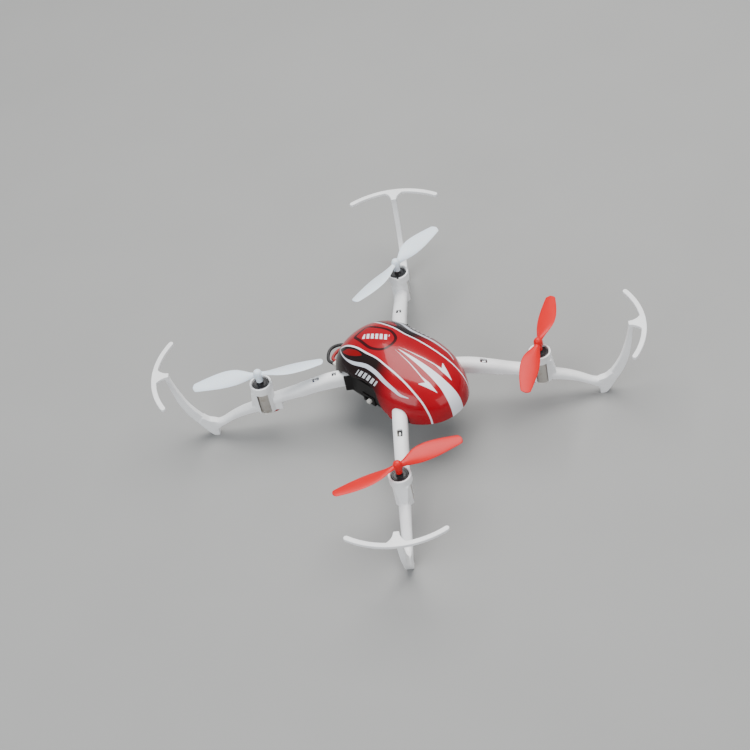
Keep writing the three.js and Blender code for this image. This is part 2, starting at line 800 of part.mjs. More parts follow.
function onBoard([x, y], [long, wide, high]) {
  const foot = BOARD.z[1] + GAP;
  return box([x - long / 2, x + long / 2], [y - wide / 2, y + wide / 2], [foot, foot + high]);
}

function antennaWire() {
  return wire(
    [
      [4.6, -9.4, 29.95],
      [5.0, -6, 30.9],
      [6.2, -1, 32],
      [7.0, 5, 33],
      [4.2, 12.0, 33],
      [-2, 14.6, 32.4],
    ],
    0.3,
    16,
  );
}

function switchHousing() {
  const slot = box(
    [SWITCH.x[0] - 1, KNOB.x[1] + GAP],
    [KNOB.y[0] - 0.2, KNOB.y[1] + KNOB_TRAVEL + 0.2],
    [KNOB.z[0] - 0.2, KNOB.z[1] + 0.2],
  );
  return cut(box(SWITCH.x, SWITCH.y, SWITCH.z), slot);
}

// ---------------------------------------------------------------- assembly

const drone = new THREE.Group();
for (const side of ARMS) drone.add(armAssembly(side));

const parts = [
  ["canopy", canopy(), "redGloss"],
  ["lower_shell", lowerShell(), "blackPlastic"],
  ["battery", battery(), "silverFoil"],
  ["battery_lead_black", batteryLead(3.0, 10.6, -8.6), "black"],
  ["battery_lead_red", batteryLead(0.9, 7.4, -6.95), "red"],
  ["battery_plug", box(PLUG.x, PLUG.y, PLUG.z), "white"],
  ["lead_socket", leadSocket(), "white"],
  ["socket_wire_black", socketWire(-8.9), "black"],
  ["socket_wire_red", socketWire(-6.9), "red"],
  ["main_board", mainBoard(), "board"],
  ["main_chip", onBoard([-1, 6], [6, 6, 0.9]), "chip"],
  ["gyro_chip", onBoard([0, -2], [3, 3, 0.8]), "chip"],
  ["radio_can", onBoard([1.5, -10.5], [9, 7, 1.6]), "steel"],
  ["status_led", onBoard([-5.5, -14.5], [2, 1.4, 0.8]), "lamp"],
  ["antenna_wire", antennaWire(), "black"],
  ["switch_housing", switchHousing(), "blackPlastic"],
  ["switch_knob", box(KNOB.x, KNOB.y, KNOB.z), "white"],
];
for (const [name, shape, colour] of parts) drone.add(mesh(name, shape, MATERIALS[colour]));

for (const { name, x, y } of CANOPY_SCREWS) {
  const fixing = mesh("canopy_screw_" + name, screw(1.25, 12.8, 13.9, 0.55, 28.5), MATERIALS.steel);
  fixing.position.set(x, y, 0);
  drone.add(fixing);
}
for (const { name, x, y } of BOARD_SCREWS) {
  const fixing = mesh("board_screw_" + name, screw(1.2, 27.7, 28.5, 0.45, 22.3), MATERIALS.steel);
  fixing.position.set(x, y, 0);
  drone.add(fixing);
}

export default drone;
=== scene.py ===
# %% [markdown]
# # A palm-sized drone
#
# The frame that this script loads is the drone's engineering model: every part has its real size and
# place, but plain facets. Here each visible part gets a finer shape and a finish of its own.
# Sizes are written in millimetres, and a part's place comes from the frame's own boxes.

# %% Load the frame
import json
import math

import bmesh
import bpy
import numpy as np
from mathutils import Matrix, Vector

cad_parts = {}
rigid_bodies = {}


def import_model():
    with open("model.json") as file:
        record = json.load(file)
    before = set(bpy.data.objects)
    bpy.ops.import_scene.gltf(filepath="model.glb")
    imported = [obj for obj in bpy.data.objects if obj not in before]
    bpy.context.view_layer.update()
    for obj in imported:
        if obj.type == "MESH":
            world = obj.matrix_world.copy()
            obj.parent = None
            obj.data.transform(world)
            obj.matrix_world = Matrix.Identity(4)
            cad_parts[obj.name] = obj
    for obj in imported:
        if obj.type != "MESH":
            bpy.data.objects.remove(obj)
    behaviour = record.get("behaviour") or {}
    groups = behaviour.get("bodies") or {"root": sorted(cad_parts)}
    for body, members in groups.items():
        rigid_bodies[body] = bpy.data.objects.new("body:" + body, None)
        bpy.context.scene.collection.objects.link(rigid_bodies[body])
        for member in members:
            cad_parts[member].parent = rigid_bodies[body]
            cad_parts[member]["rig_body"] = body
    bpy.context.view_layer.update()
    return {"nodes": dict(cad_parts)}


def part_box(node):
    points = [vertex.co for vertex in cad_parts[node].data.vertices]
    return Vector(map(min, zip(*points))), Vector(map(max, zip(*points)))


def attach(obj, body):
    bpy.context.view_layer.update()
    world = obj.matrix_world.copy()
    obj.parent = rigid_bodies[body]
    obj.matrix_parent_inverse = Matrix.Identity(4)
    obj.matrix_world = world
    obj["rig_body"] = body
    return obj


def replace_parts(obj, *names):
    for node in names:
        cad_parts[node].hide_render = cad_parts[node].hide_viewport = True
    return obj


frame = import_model()
MM = 0.001
ARM_NAMES = ["rear_right", "rear_left", "front_left", "front_right"]

# %% [markdown]
# ## Camera
#
# A camera is three directions and a place. The directions could be typed as angles, but building them
# from azimuth, elevation and roll keeps the meaning of each number in sight: where the camera stands
# round the drone, how high, and how far it is tilted on its own axis.

# %% Camera
AZIMUTH, ELEVATION, ROLL = (math.radians(a) for a in (-35.457, 45.011, -13.178))
level = Vector((math.cos(AZIMUTH), math.sin(AZIMUTH), 0))
back = Vector((math.sin(AZIMUTH), -math.cos(AZIMUTH), 0)) * math.cos(ELEVATION)
back.z = math.sin(ELEVATION)
up = back.cross(level)
right = level * math.cos(ROLL) + up * math.sin(ROLL)
over = up * math.cos(ROLL) - level * math.sin(ROLL)

camera = bpy.data.objects.new("camera", bpy.data.cameras.new("camera"))
bpy.context.collection.objects.link(camera)
turned = Matrix((right, over, back)).transposed().to_4x4()
camera.matrix_world = Matrix.Translation((-0.29186, -0.39238, 0.51486)) @ turned
camera.data.lens = 80.66
camera.data.sensor_width = 36
camera.data.clip_start = 0.01
bpy.context.scene.camera = camera
print("camera at", [round(v, 3) for v in camera.location])

# %% [markdown]
# ## Mesh tools
#
# Almost every part of a moulded toy is one of four things: a skin stretched over rings, a turned
# body, a slab with an outline, or a tube along a curve. All four come down to rings of points, so one
# function that skins rings does the work and the others only prepare them.


# %% Curves
def spline(points, count):
    """A smooth curve through the points, in any number of dimensions."""
    p = np.asarray(points, float)
    p = np.vstack([2 * p[0] - p[1], p, 2 * p[-1] - p[-2]])
    t = np.linspace(0, len(p) - 3, count)
    i = np.minimum(t.astype(int), len(p) - 4)
    t = (t - i)[:, None]
    a, b, c, d = p[i], p[i + 1], p[i + 2], p[i + 3]
    return b + 0.5 * t * (c - a + t * (2 * a - 5 * b + 4 * c - d + t * (3 * (b - c) + d - a)))


def rounded(corners, radius, steps=4):
    """An open outline with its inner corners rounded off."""
    p = [np.asarray(c, float) for c in corners]
    path = [p[0]]
    for before, here, after in zip(p, p[1:], p[2:]):
        inwards, outwards = before - here, after - here
        reach = min(radius, 0.45 * np.linalg.norm(inwards), 0.45 * np.linalg.norm(outwards))
        start = here + inwards / np.linalg.norm(inwards) * reach
        end = here + outwards / np.linalg.norm(outwards) * reach
        for s in np.linspace(0, 1, steps + 1):
            path.append((1 - s) ** 2 * start + 2 * s * (1 - s) * here + s * s * end)
    path.append(p[-1])
    return np.array(path)


print("a spline through 3 points:", spline([(0, 0), (1, 1), (2, 0)], 5).round(2).tolist())


# %% Rings, skins and pieces
def piece_from(name, verts, faces, sharp=None, weld=True):
    """A new object from points in millimetres, with its faces turned outwards."""
    mesh = bpy.data.meshes.new(name)
    mesh.from_pydata((np.asarray(verts, float) * MM).tolist(), [], faces)
    welded = bmesh.new()
    welded.from_mesh(mesh)
    if weld:
        bmesh.ops.remove_doubles(welded, verts=welded.verts, dist=1e-7)
    bmesh.ops.recalc_face_normals(welded, faces=welded.faces)
    welded.to_mesh(mesh)
    welded.free()
    mesh.shade_smooth()
    if sharp:
        mesh.set_sharp_from_angle(angle=math.radians(sharp))
    piece = bpy.data.objects.new(name, mesh)
    bpy.context.collection.objects.link(piece)
    return piece


def skin(rings, caps=True):
    """Points and faces of a skin over closed rings that all have the same number of points."""
    rings = np.asarray(rings, float)
    rows, around = rings.shape[:2]
    faces = [
        (r * around + k, r * around + (k + 1) % around,
         (r + 1) * around + (k + 1) % around, (r + 1) * around + k)
        for r in range(rows - 1) for k in range(around)
    ]
    if caps:
        faces += [tuple(reversed(range(around))), tuple(range((rows - 1) * around, rows * around))]
    return rings.reshape(-1, 3), faces


def turned_body(profile, sides=64):
    """Rings of a turned body from its [radius, height] profile."""
    turn = np.linspace(0, 2 * np.pi, sides, endpoint=False)
    return [np.stack([r * np.cos(turn), r * np.sin(turn), np.full(sides, z)], 1) for r, z in profile]


def slab(outline, low, high, upright=True):
    """An outline, extruded up from low to high, or across when it stands on edge."""
    flat = np.asarray(outline, float)
    rings = []
    for level_at in (low, high):
        third = np.full(len(flat), level_at)
        rings.append(np.stack([flat[:, 0], flat[:, 1], third] if upright
                              else [flat[:, 0], third, flat[:, 1]], 1))
    return rings


def block(x, y, z):
    return slab([(x[0], y[0]), (x[1], y[0]), (x[1], y[1]), (x[0], y[1])], *z)


def tube(points, radius, count=90, sides=14):
    """Rings of a round tube along a smooth curve, carried along it without twisting."""
    path = spline(points, count)
    ahead = np.gradient(path, axis=0)
    ahead /= np.linalg.norm(ahead, axis=1)[:, None]
    side = np.cross(ahead[0], (0.3, 0.2, 0.9))
    turn = np.linspace(0, 2 * np.pi, sides, endpoint=False)[:, None]
    rings = []
    for here, along in zip(path, ahead):
        side = side - along * (side @ along)
        side /= np.linalg.norm(side)
        rings.append(here + radius * (np.cos(turn) * side + np.sin(turn) * np.cross(along, side)))
    return rings


def joined(name, bodies, sharp=None):
    """One piece from several closed skins."""
    verts, faces, start = [], [], 0
    for rings in bodies:
        v, f = skin(rings)
        verts.append(v)
        faces += [tuple(i + start for i in face) for face in f]
        start += len(v)
    return piece_from(name, np.vstack(verts), faces, sharp)


print("a 4-sided block has", len(skin(block((0, 1), (0, 1), (0, 1)))[1]), "faces")

# %% [markdown]
# ### Moulded parts
#
# A moulding has no sharp edge anywhere: walls run into each other with small fillets. Bevelling every
# edge of a shape that comes from many joins and cuts is fragile. A voxel remesh is not: it fuses
# whatever overlaps into one closed skin, and a light smoothing then rounds every edge a little,
# inside corners too. So mouldings are assembled roughly, cut, remeshed, smoothed and thinned out.


# %% Apply, cut and mould
def smoothed(piece, degrees):
    """Smooth shading, except over edges that turn by more than this angle."""
    piece.data.shade_smooth()
    piece.data.set_sharp_from_angle(angle=math.radians(degrees))


def applied(piece, *changes):
    """Adds modifiers, given as (type, settings), and keeps only their result."""
    for kind, settings in changes:
        change = piece.modifiers.new(kind.lower(), kind)
        for key, value in settings.items():
            setattr(change, key, value)
    shape = bpy.data.meshes.new_from_object(
        piece.evaluated_get(bpy.context.evaluated_depsgraph_get()))
    piece.modifiers.clear()
    spare = piece.data
    piece.data = shape
    bpy.data.meshes.remove(spare)
    return piece


def combined(piece, bodies, how):
    """Joins or cuts the piece with closed skins, one after another."""
    tools = [joined("tool", [rings]) for rings in bodies]
    applied(piece, *[
        ("BOOLEAN", {"operation": how, "solver": "MANIFOLD", "object": tool}) for tool in tools])
    for tool in tools:
        spare = tool.data
        bpy.data.objects.remove(tool)
        bpy.data.meshes.remove(spare)
    return piece


def moulded(name, bodies, cuts, voxel, keep, softness=6):
    piece = joined(name, bodies)
    applied(piece, ("REMESH", {"mode": "VOXEL", "voxel_size": voxel * MM}))
    combined(piece, cuts, "DIFFERENCE")
    applied(piece, ("REMESH", {"mode": "VOXEL", "voxel_size": voxel * MM}),
            ("SMOOTH", {"factor": 0.5, "iterations": softness}),
            ("DECIMATE", {"ratio": keep}))
    piece.data.shade_smooth()
    print(name, "has", len(piece.data.polygons), "faces")
    return piece


# %% [markdown]
# ## Finishes
#
# A finish is a small graph of shader nodes. Written out node by node it is unreadable, so a wire of
# the graph is wrapped in a class that knows arithmetic: an expression such as `1 - mask * 0.5` adds
# the Math nodes it needs. Colours and vectors go through Mix and Vector Math instead, because Math
# nodes carry single numbers only.


# %% Shader wires
class Wire:
    """One output of one finish's graph. Arithmetic on it adds Math nodes."""

    def __init__(self, finish, socket):
        self.finish, self.socket = finish, socket

    def math(self, operation, *inputs):
        return self.finish.node("Math", {"operation": operation}, dict(enumerate(inputs)))

    def __add__(self, other):
        return self.math("ADD", self, other)

    def __sub__(self, other):
        return self.math("SUBTRACT", self, other)

    def __mul__(self, other):
        return self.math("MULTIPLY", self, other)

    def __rsub__(self, other):
        return self.math("SUBTRACT", other, self)

    def __lt__(self, other):
        return self.math("LESS_THAN", self, other)

    def __gt__(self, other):
        return self.math("GREATER_THAN", self, other)

    def __abs__(self):
        return self.math("ABSOLUTE", self)

    __radd__ = __add__
    __rmul__ = __mul__


class Finish:
    """One material and its graph."""

    def __init__(self, name, **constants):
        self.material = bpy.data.materials.new(name)
        self.material.use_nodes = True
        self.tree = self.material.node_tree
        self.shader = self.tree.nodes["Principled BSDF"]
        for key, value in constants.items():
            self.set(key, value)

    def node(self, kind, settings=None, inputs=None, output=0):
        """Adds a node: its settings first, then its inputs, by name or number."""
        made = self.tree.nodes.new("ShaderNode" + kind)
        for key, value in (settings or {}).items():
            if key == "stops":
                ramp = made.color_ramp.elements
                while len(ramp) < len(value):
                    ramp.new(0.5)
                for stop, (place, colour) in zip(ramp, value):
                    stop.position, stop.color = place, (*colour, 1)
            else:
                setattr(made, key, value)
        for key, value in (inputs or {}).items():
            self.feed(made.inputs[key], value)
        return Wire(self, made.outputs[output])

    def feed(self, socket, value):
        if isinstance(value, Wire):
            self.tree.links.new(value.socket, socket)
        elif isinstance(value, tuple) and len(value) == 3 and socket.type == "RGBA":
            socket.default_value = (*value, 1)
        else:
            socket.default_value = value

    def set(self, key, value):
        self.feed(self.shader.inputs[key.replace("_", " ")], value)

    def attribute(self, name):
        return self.node("Attribute", {"attribute_name": name}, output="Fac")

    def place(self, **scale):
        """The point on the object, in millimetres, optionally stretched along some axes."""
        point = self.node("TexCoord", output="Object")
        stretch = tuple(scale.get(axis, 1) / MM for axis in "xyz")
        return self.node("VectorMath", {"operation": "MULTIPLY"}, {0: point, 1: stretch})

    def noise(self, size, detail=2, rough=0.5, at=None):
        """Noise whose blotches are about `size` millimetres across."""
        return self.node("TexNoise", {}, {
            "Vector": at or self.place(), "Scale": 1 / size, "Detail": detail, "Roughness": rough})

    def between(self, value, low, high, start=0.0, end=1.0):
        """Rises smoothly from start to end as the value goes from low to high."""
        return self.node("MapRange", {"interpolation_type": "SMOOTHSTEP"}, {
            "Value": value, "From Min": low, "From Max": high, "To Min": start, "To Max": end})

    def mix(self, amount, first, second):
        """A colour between two others."""
        return self.node("Mix", {"data_type": "RGBA"}, {0: amount, 6: first, 7: second}, output=2)

    def bump(self, height, depth, strength=1.0):
        """Raises the surface by up to `depth` millimetres."""
        self.set("Normal", self.node("Bump", {}, {
            "Height": height, "Distance": depth * MM, "Strength": strength}))


print("finishes are ready to make")

# %% [markdown]
# ### White and black mouldings
#
# The arms and the lower shell are injection moulded in satin plastic. A flat colour would look like
# paper. Real mouldings have a fine spark-eroded grain, faint clouding where the melt cooled, a
# little handling dirt in hollows and a shinier line where edges have rubbed. Pointiness gives hollows
# and edges without any drawing.


# %% Moulded plastic
def moulded_plastic(name, colour, dirt, roughness, grain=0.012, shine=0.5):
    made = Finish(name, Specular_IOR_Level=shine)
    clouds = made.noise(9, 3)
    speckle = made.noise(0.35, 2, 0.6)
    hollow = made.node("NewGeometry", output="Pointiness")
    soiled = made.between(hollow, 0.49, 0.40) * made.between(made.noise(3, 4), 0.35, 0.7)
    rubbed = made.between(hollow, 0.53, 0.62)
    shade = made.mix(made.between(clouds, 0.3, 0.7), colour, tuple(0.93 * c for c in colour))
    made.set("Base Color", made.mix(soiled * 0.55, shade, dirt))
    made.set("Roughness", roughness + 0.10 * speckle + 0.08 * clouds - 0.10 * rubbed)
    made.bump(made.noise(0.22, 3, 0.6) + 0.5 * made.noise(2.5, 2), grain)
    return made.material


FINISHES = {
    "white_moulding": moulded_plastic("satin_white", (0.93, 0.935, 0.94), (0.52, 0.48, 0.43), 0.30),
    "black_moulding": moulded_plastic(
        "satin_black", (0.006, 0.005, 0.005), (0.02, 0.018, 0.016), 0.42, grain=0.02, shine=0.22),
    "white_nylon": moulded_plastic("natural_nylon", (0.82, 0.80, 0.75), (0.45, 0.40, 0.33), 0.38, 0.008),
}
print("plastics:", ", ".join(FINISHES))

# %% [markdown]
# ### Propeller plastic
#
# Propellers are thin and a little translucent, so light bleeds through them: subsurface scattering
# gives that glow. Their flow marks run along the blade, and the tips and edges carry tiny chips of
# dust, so the noise is stretched along the blade before it drives roughness and height.


# %% Blade plastic
def blade_plastic(name, colour, pale):
    made = Finish(name, Subsurface_Weight=0.12, Subsurface_Scale=0.0006, Specular_IOR_Level=0.3,
                  Subsurface_Radius=(1.0, 0.7, 0.5))
    flow = made.noise(1.2, 3, 0.5, made.place(x=0.14, y=0.14, z=2))
    clouds = made.noise(5, 2)
    made.set("Base Color", made.mix(made.between(clouds, 0.35, 0.75) * 0.35, colour, pale))
    made.set("Roughness", 0.26 + 0.16 * flow + 0.05 * clouds)
    made.bump(flow + 0.25 * made.noise(0.3, 2), 0.02)
    return made.material


FINISHES["blade_white"] = blade_plastic("blade_white", (0.78, 0.87, 0.96), (0.86, 0.92, 0.98))
FINISHES["blade_red"] = blade_plastic("blade_red", (0.66, 0.004, 0.006), (0.72, 0.008, 0.010))

# %% [markdown]
# ### Metals
#
# The motor cans are drawn from sheet steel and carry fine vertical draw lines; screws are zinc
# plated, with a soft sparkle. Both are fully metallic, so their colour is in the reflection, and all
# the life comes from roughness: stretched noise for the draw lines, a cellular pattern for the zinc.
# Only the top of each motor can is not metal: it is painted near-black, as painted shade.


# %% Drawn steel, zinc and tinplate
def drawn_steel(name, colour, tarnish, lines=8.0, painted_top_shade=False):
    made = Finish(name, Metallic=1.0)
    draw = made.noise(0.5, 3, 0.6, made.place(x=lines, y=lines, z=0.25))
    stain = made.noise(2.5, 4, 0.6)
    metal = made.mix(made.between(stain, 0.45, 0.75) * 0.6, colour, tarnish)
    if painted_top_shade:
        # Painted shade: the can's top, from its rolled edge to the bearing's top, is near-black, not metal
        height = made.node("SeparateXYZ", {}, {0: made.place()}, output="Z")
        top_shade_mask = made.between(height, 26.34, 26.44) * made.between(height, 27.38, 27.34)
        metal = made.mix(top_shade_mask, metal, (0.02, 0.02, 0.022))
        made.set("Metallic", 1 - top_shade_mask)
    made.set("Base Color", metal)
    made.set("Roughness", 0.20 + 0.22 * draw + 0.12 * stain)
    made.bump(draw, 0.006)
    return made.material


def plated(name, colour):
    made = Finish(name, Metallic=1.0)
    crystals = made.node("TexVoronoi", {}, {"Vector": made.place(), "Scale": 4.0}, output="Distance")
    wear = made.noise(0.8, 3)
    made.set("Base Color", made.mix(wear, colour, tuple(0.75 * c for c in colour)))
    made.set("Roughness", 0.24 + 0.25 * crystals + 0.1 * wear)
    made.bump(crystals, 0.01)
    return made.material


FINISHES["motor_steel"] = drawn_steel("drawn_steel", (0.60, 0.57, 0.53), (0.40, 0.33, 0.26), painted_top_shade=True)
FINISHES["screw_steel"] = plated("zinc_plate", (0.62, 0.62, 0.64))
FINISHES["can_tinplate"] = drawn_steel("tinplate", (0.72, 0.72, 0.71), (0.58, 0.57, 0.54), 1.0)

# %% [markdown]
# ### Wire insulation, foil and the board
#
# Insulation is soft vinyl: dull, a little dusty, with the faint ripple of the extruder. The battery
# is a foil pouch, so broad creases catch the light. The board needs copper tracks under its green
# mask; two crossed brick patterns make believable routing without drawing one track at a time.


# %% Insulation, foil, board and its chips
def insulation(name, colour):
    made = Finish(name)
    dust = made.noise(1.6, 4, 0.6)
    made.set("Base Color", made.mix(made.between(dust, 0.55, 0.8) * 0.25, colour, (0.35, 0.32, 0.29)))
    made.set("Roughness", 0.42 + 0.2 * dust)
    made.bump(made.noise(0.5, 2), 0.02)
    return made.material


def foil():
    made = Finish("pouch_foil", Metallic=0.75)
    creases = made.node("TexVoronoi", {"feature": "DISTANCE_TO_EDGE"}, {
        "Vector": made.place(x=0.6), "Scale": 0.28}, output="Distance")
    ripples = made.noise(2.2, 4)
    made.set("Base Color", made.mix(ripples, (0.62, 0.64, 0.67), (0.48, 0.49, 0.52)))
    made.set("Roughness", 0.26 + 0.22 * ripples)
    made.bump(made.between(creases, 0.0, 0.5) + 0.6 * ripples, 0.12)
    return made.material


def circuit_board():
    made = Finish("solder_mask", Coat_Roughness=0.1, Coat_Weight=0.4)
    rows = made.node("TexBrick", {"offset": 0.35}, {
        "Vector": made.place(), "Scale": 0.55, "Mortar Size": 0.03}, output="Fac")
    columns = made.node("TexBrick", {"offset": 0.6}, {
        "Vector": made.place(x=0.5, y=1.7), "Scale": 0.8, "Mortar Size": 0.03}, output="Fac")
    tracks = made.between(rows + columns, 0.3, 0.9)
    made.set("Base Color", made.mix(tracks, (0.008, 0.085, 0.035), (0.03, 0.19, 0.07)))
    made.set("Roughness", 0.28 + 0.15 * made.noise(1.2, 3))
    made.bump(tracks, 0.035)
    return made.material


def epoxy(name, colour, roughness, depth):
    made = Finish(name)
    grains = made.noise(0.15, 3, 0.7)
    made.set("Base Color", made.mix(grains, colour, tuple(min(1, 1.5 * c) for c in colour)))
    made.set("Roughness", roughness + 0.2 * grains)
    made.bump(grains, depth)
    return made.material


FINISHES["wire_black"] = insulation("vinyl_black", (0.012, 0.012, 0.013))
FINISHES["wire_red"] = insulation("vinyl_red", (0.34, 0.006, 0.008))
FINISHES["wire_blue"] = insulation("vinyl_blue", (0.012, 0.05, 0.36))
FINISHES["wire_white"] = insulation("vinyl_cream", (0.80, 0.75, 0.64))
FINISHES["battery_foil"] = foil()
FINISHES["circuit_board"] = circuit_board()
FINISHES["chip_epoxy"] = epoxy("chip_epoxy", (0.02, 0.02, 0.022), 0.4, 0.01)
FINISHES["lamp_resin"] = epoxy("lamp_resin", (0.85, 0.80, 0.62), 0.1, 0.003)
print(len(FINISHES), "finishes so far")


# %% Dress a piece
def dressed(piece, slot, *replaced):
    """Gives a piece its finish, and the body of the engineering part that it stands for."""
    piece.data.materials.clear()
    piece.data.materials.append(FINISHES[slot])
    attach(piece, frame["nodes"][replaced[0]]["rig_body"])
    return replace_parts(piece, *replaced)

# %% [markdown]
# ## Arms
#
# Each arm is one moulding: a half-round spar with a wire channel in its underside, a pod that grips
# the motor, a thinner outer spar, a foot, a curved fin and a bumper. It is made in the arm's own
# frame, outwards along X, and turned into place. One arm has a second slot, so two shapes are made.

# %% The arm's stations
# [out, top, bottom, width]
INNER_SPAR = [
    (20.5, 28.1, 22.7, 6.2), (26, 27.6, 22.1, 6.1), (30, 27.0, 21.5, 6.0), (35, 25.6, 20.6, 5.9),
    (41, 23.6, 19.0, 5.8), (47, 21.4, 17.8, 5.7), (54, 19.2, 16.2, 5.6),
]
OUTER_SPAR = [
    (60.5, 16.8, 12.6, 4.8), (66, 15.0, 11.4, 4.7), (70, 13.4, 10.2, 4.5), (74, 11.2, 8.4, 4.3),
    (78.4, 8.6, 5.7, 4.0), (82.4, 7.8, 3.0, 3.4),
]
SPAR_WALL = 0.9
POD_AT = 58
POD_BOTTOM, RING_BOTTOM, POD_TOP = 12.2, 23.3, 27.2


def spar_ring(out, top, bottom, width):
    """One section across a spar: flat underneath, round on top."""
    half = width / 2
    corner = min(half * 0.85, (top - bottom) * 0.6)
    turn = np.linspace(0, np.pi / 2, 8)
    side = half - corner + corner * np.cos(turn)
    height = top - corner + corner * np.sin(turn)
    across = np.concatenate([[-half, half], side, -side[::-1]])
    up = np.concatenate([[bottom, bottom], height, height[::-1]])
    return np.stack([np.full(len(across), out), across, up], 1)


def spar(stations, rows):
    return [spar_ring(*station) for station in spline(stations, rows)]


def at_pod(rings):
    return [ring + (POD_AT, 0, 0) for ring in rings]


def bar(radius, low, high, sides=48):
    return turned_body([(radius, low), (radius, high)], sides)


print("a spar section has", len(spar_ring(*INNER_SPAR[0])), "points")

# %% Foot, fin and bumper
FIN_OUTSIDE = [(85.2, 2.2), (88.8, 8), (91.7, 13.4), (94, 20), (95.1, 26), (95.8, 31), (96.4, 37.4)]
FIN_INSIDE = [(94.7, 37.4), (94.4, 34.5), (93.3, 29), (91.3, 22), (89.3, 17), (86.2, 11.8), (83.0, 8.0)]
FOOT = [
    (81, 0), (83.5, 0), (85.6, 2.9), (88.4, 8), (86.4, 11.6), (84, 9), (80.4, 7.8), (80.4, 3.6), (81, 3.2),
]
BUMPER_CENTRE, BUMPER_OUT, BUMPER_IN, BUMPER_REACH = 66.2, 35.58, 33.5, 19.28
BUMPER_TOP, BUMPER_THICK = 37.6, 1.4


def bumper():
    """An arc in plan with rounded ends."""
    middle = (BUMPER_OUT + BUMPER_IN) / 2
    half = (BUMPER_OUT - BUMPER_IN) / 2
    sweep = math.asin(BUMPER_REACH / BUMPER_OUT)
    turn = np.linspace(-sweep, sweep, 60)
    end = np.linspace(0, np.pi, 9)[1:-1]
    outside = [(BUMPER_OUT * math.cos(a), BUMPER_OUT * math.sin(a)) for a in turn]
    inside = [(BUMPER_IN * math.cos(a), BUMPER_IN * math.sin(a)) for a in turn[::-1]]
    tips = []
    for side in (1, -1):
        centre = np.array([middle * math.cos(sweep), side * middle * math.sin(sweep)])
        out = np.array([math.cos(sweep), side * math.sin(sweep)])
        on = np.array([-math.sin(sweep), side * math.cos(sweep)])
        arc = [centre + half * (side * math.cos(a) * out + math.sin(a) * on) for a in end]
        tips.append(arc)
    outline = np.array([*outside, *tips[0], *inside, *tips[1]])
    return slab(outline + (BUMPER_CENTRE, 0), BUMPER_TOP - BUMPER_THICK, BUMPER_TOP)


def gusset():
    """Spreads from the top of the fin into the bumper."""
    rim = BUMPER_CENTRE + BUMPER_IN + 0.7
    side = [(94.6, 1.1), (96.6, 1.5), (98.4, 2.6), (99.6, 4.0), (rim, 5.6)]
    outline = spline(side, 14)
    return slab(np.vstack([outline, (outline * (1, -1))[::-1]]), BUMPER_TOP - BUMPER_THICK, BUMPER_TOP)


fin = slab(np.vstack([spline(FIN_OUTSIDE, 40), spline(FIN_INSIDE, 40)]), -1.1, 1.1, upright=False)
foot = slab(rounded([*FOOT, FOOT[0]], 1.0)[:-1], -1.6, 1.6, upright=False)
print("fin reaches", FIN_OUTSIDE[-1][1], "mm up; bumper is", 2 * BUMPER_REACH, "mm across")

# %% Pod, channel and openings
FUNNEL = [(12.2, 61, 64.4, 4.8), (17, 60.6, 63.6, 5.6), (23.8, 60, 62.5, 7.6)]
HOOK_SLOTS = [(35, 2.8, 2.2), (27, 1.8, 1.8)]
TWO_SLOTS_ON = "rear_right"
funnel = [
    [(start, -wide / 2, z), (end, 1 - wide / 2, z), (end, wide / 2 - 1, z), (start, wide / 2, z)]
    for z, start, end, wide in spline(FUNNEL, 8)
]
pod = [
    at_pod(bar(4.65, RING_BOTTOM, POD_TOP, 96)),
    at_pod(bar(4.35, POD_BOTTOM, RING_BOTTOM + 0.5, 96)),
    block((51.0, 54.6), (-2.1, 2.1), (POD_BOTTOM, 17.5)),
    funnel,
]
channel = [(out, top - SPAR_WALL, bottom - 1, wide - 2 * SPAR_WALL)
           for out, top, bottom, wide in [(19.5, 28.1, 22.7, 6.2), *INNER_SPAR[1:6]]]
channel.append((52.8, 18.7, 15.4, 2.6))
tab = block((14, 21.6), (-3, 3), (21.9, 24.2))
openings = [
    spar(channel, 24),
    at_pod(bar(3.8, POD_BOTTOM - 1, POD_TOP + 1, 96)),
    block((POD_AT - 2.35, POD_AT + 2.35), (-6, 6), (POD_BOTTOM - 1, RING_BOTTOM)),
    block((POD_AT - 5, POD_AT - 3), (-0.5, 0.5), (POD_TOP - 0.7, POD_TOP + 1)),
    [ring + (17.5, 0, 0) for ring in bar(0.9, 20, 26)],
    block((50.2, 53.7), (-1.25, 1.25), (POD_BOTTOM - 1, 19)),
]


def slots_of(name):
    return HOOK_SLOTS if name == TWO_SLOTS_ON else HOOK_SLOTS[:1]


def slot_cuts(name):
    return [block((at - long / 2, at + long / 2), (-wide / 2, wide / 2), (22.5, 29))
            for at, long, wide in slots_of(name)]


# %% Four arms from two meshes
def arm_angle(name):
    """The arm's direction, from where its motor stands."""
    low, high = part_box("motor_can_" + name)
    return math.atan2(low.y + high.y, low.x + high.x)


def turned_copy(first, name, angle):
    """Another piece with the first one's shape, turned about the upright axis."""
    shape = first.data.copy()
    shape.transform(Matrix.Rotation(angle, 4, "Z"))
    piece = bpy.data.objects.new(name, shape)
    bpy.context.collection.objects.link(piece)
    return piece


def discarded(piece):
    spare = piece.data
    bpy.data.objects.remove(piece)
    bpy.data.meshes.remove(spare)


arm_parts = [spar(INNER_SPAR, 50), spar(OUTER_SPAR, 40), *pod, tab, fin, foot, bumper(), gusset()]
for group in (ARM_NAMES[:1], ARM_NAMES[1:]):
    first_arm = moulded("first_arm", arm_parts, openings + slot_cuts(group[0]),
                        voxel=0.17, keep=0.35, softness=5)
    for name in group:
        arm = turned_copy(first_arm, "arm_moulding_" + name, arm_angle(name))
        dressed(arm, "white_moulding", "arm_" + name)
        print(arm.name, "at", round(math.degrees(arm_angle(name))), "degrees")
    discarded(first_arm)

# %% [markdown]
# ### Channel covers
#
# A strip snaps into the mouth of each wire channel, and its hooks catch in the slots in the arm's top,
# where they show from above. The strip follows the spar's underside, so its outline is a smooth curve.

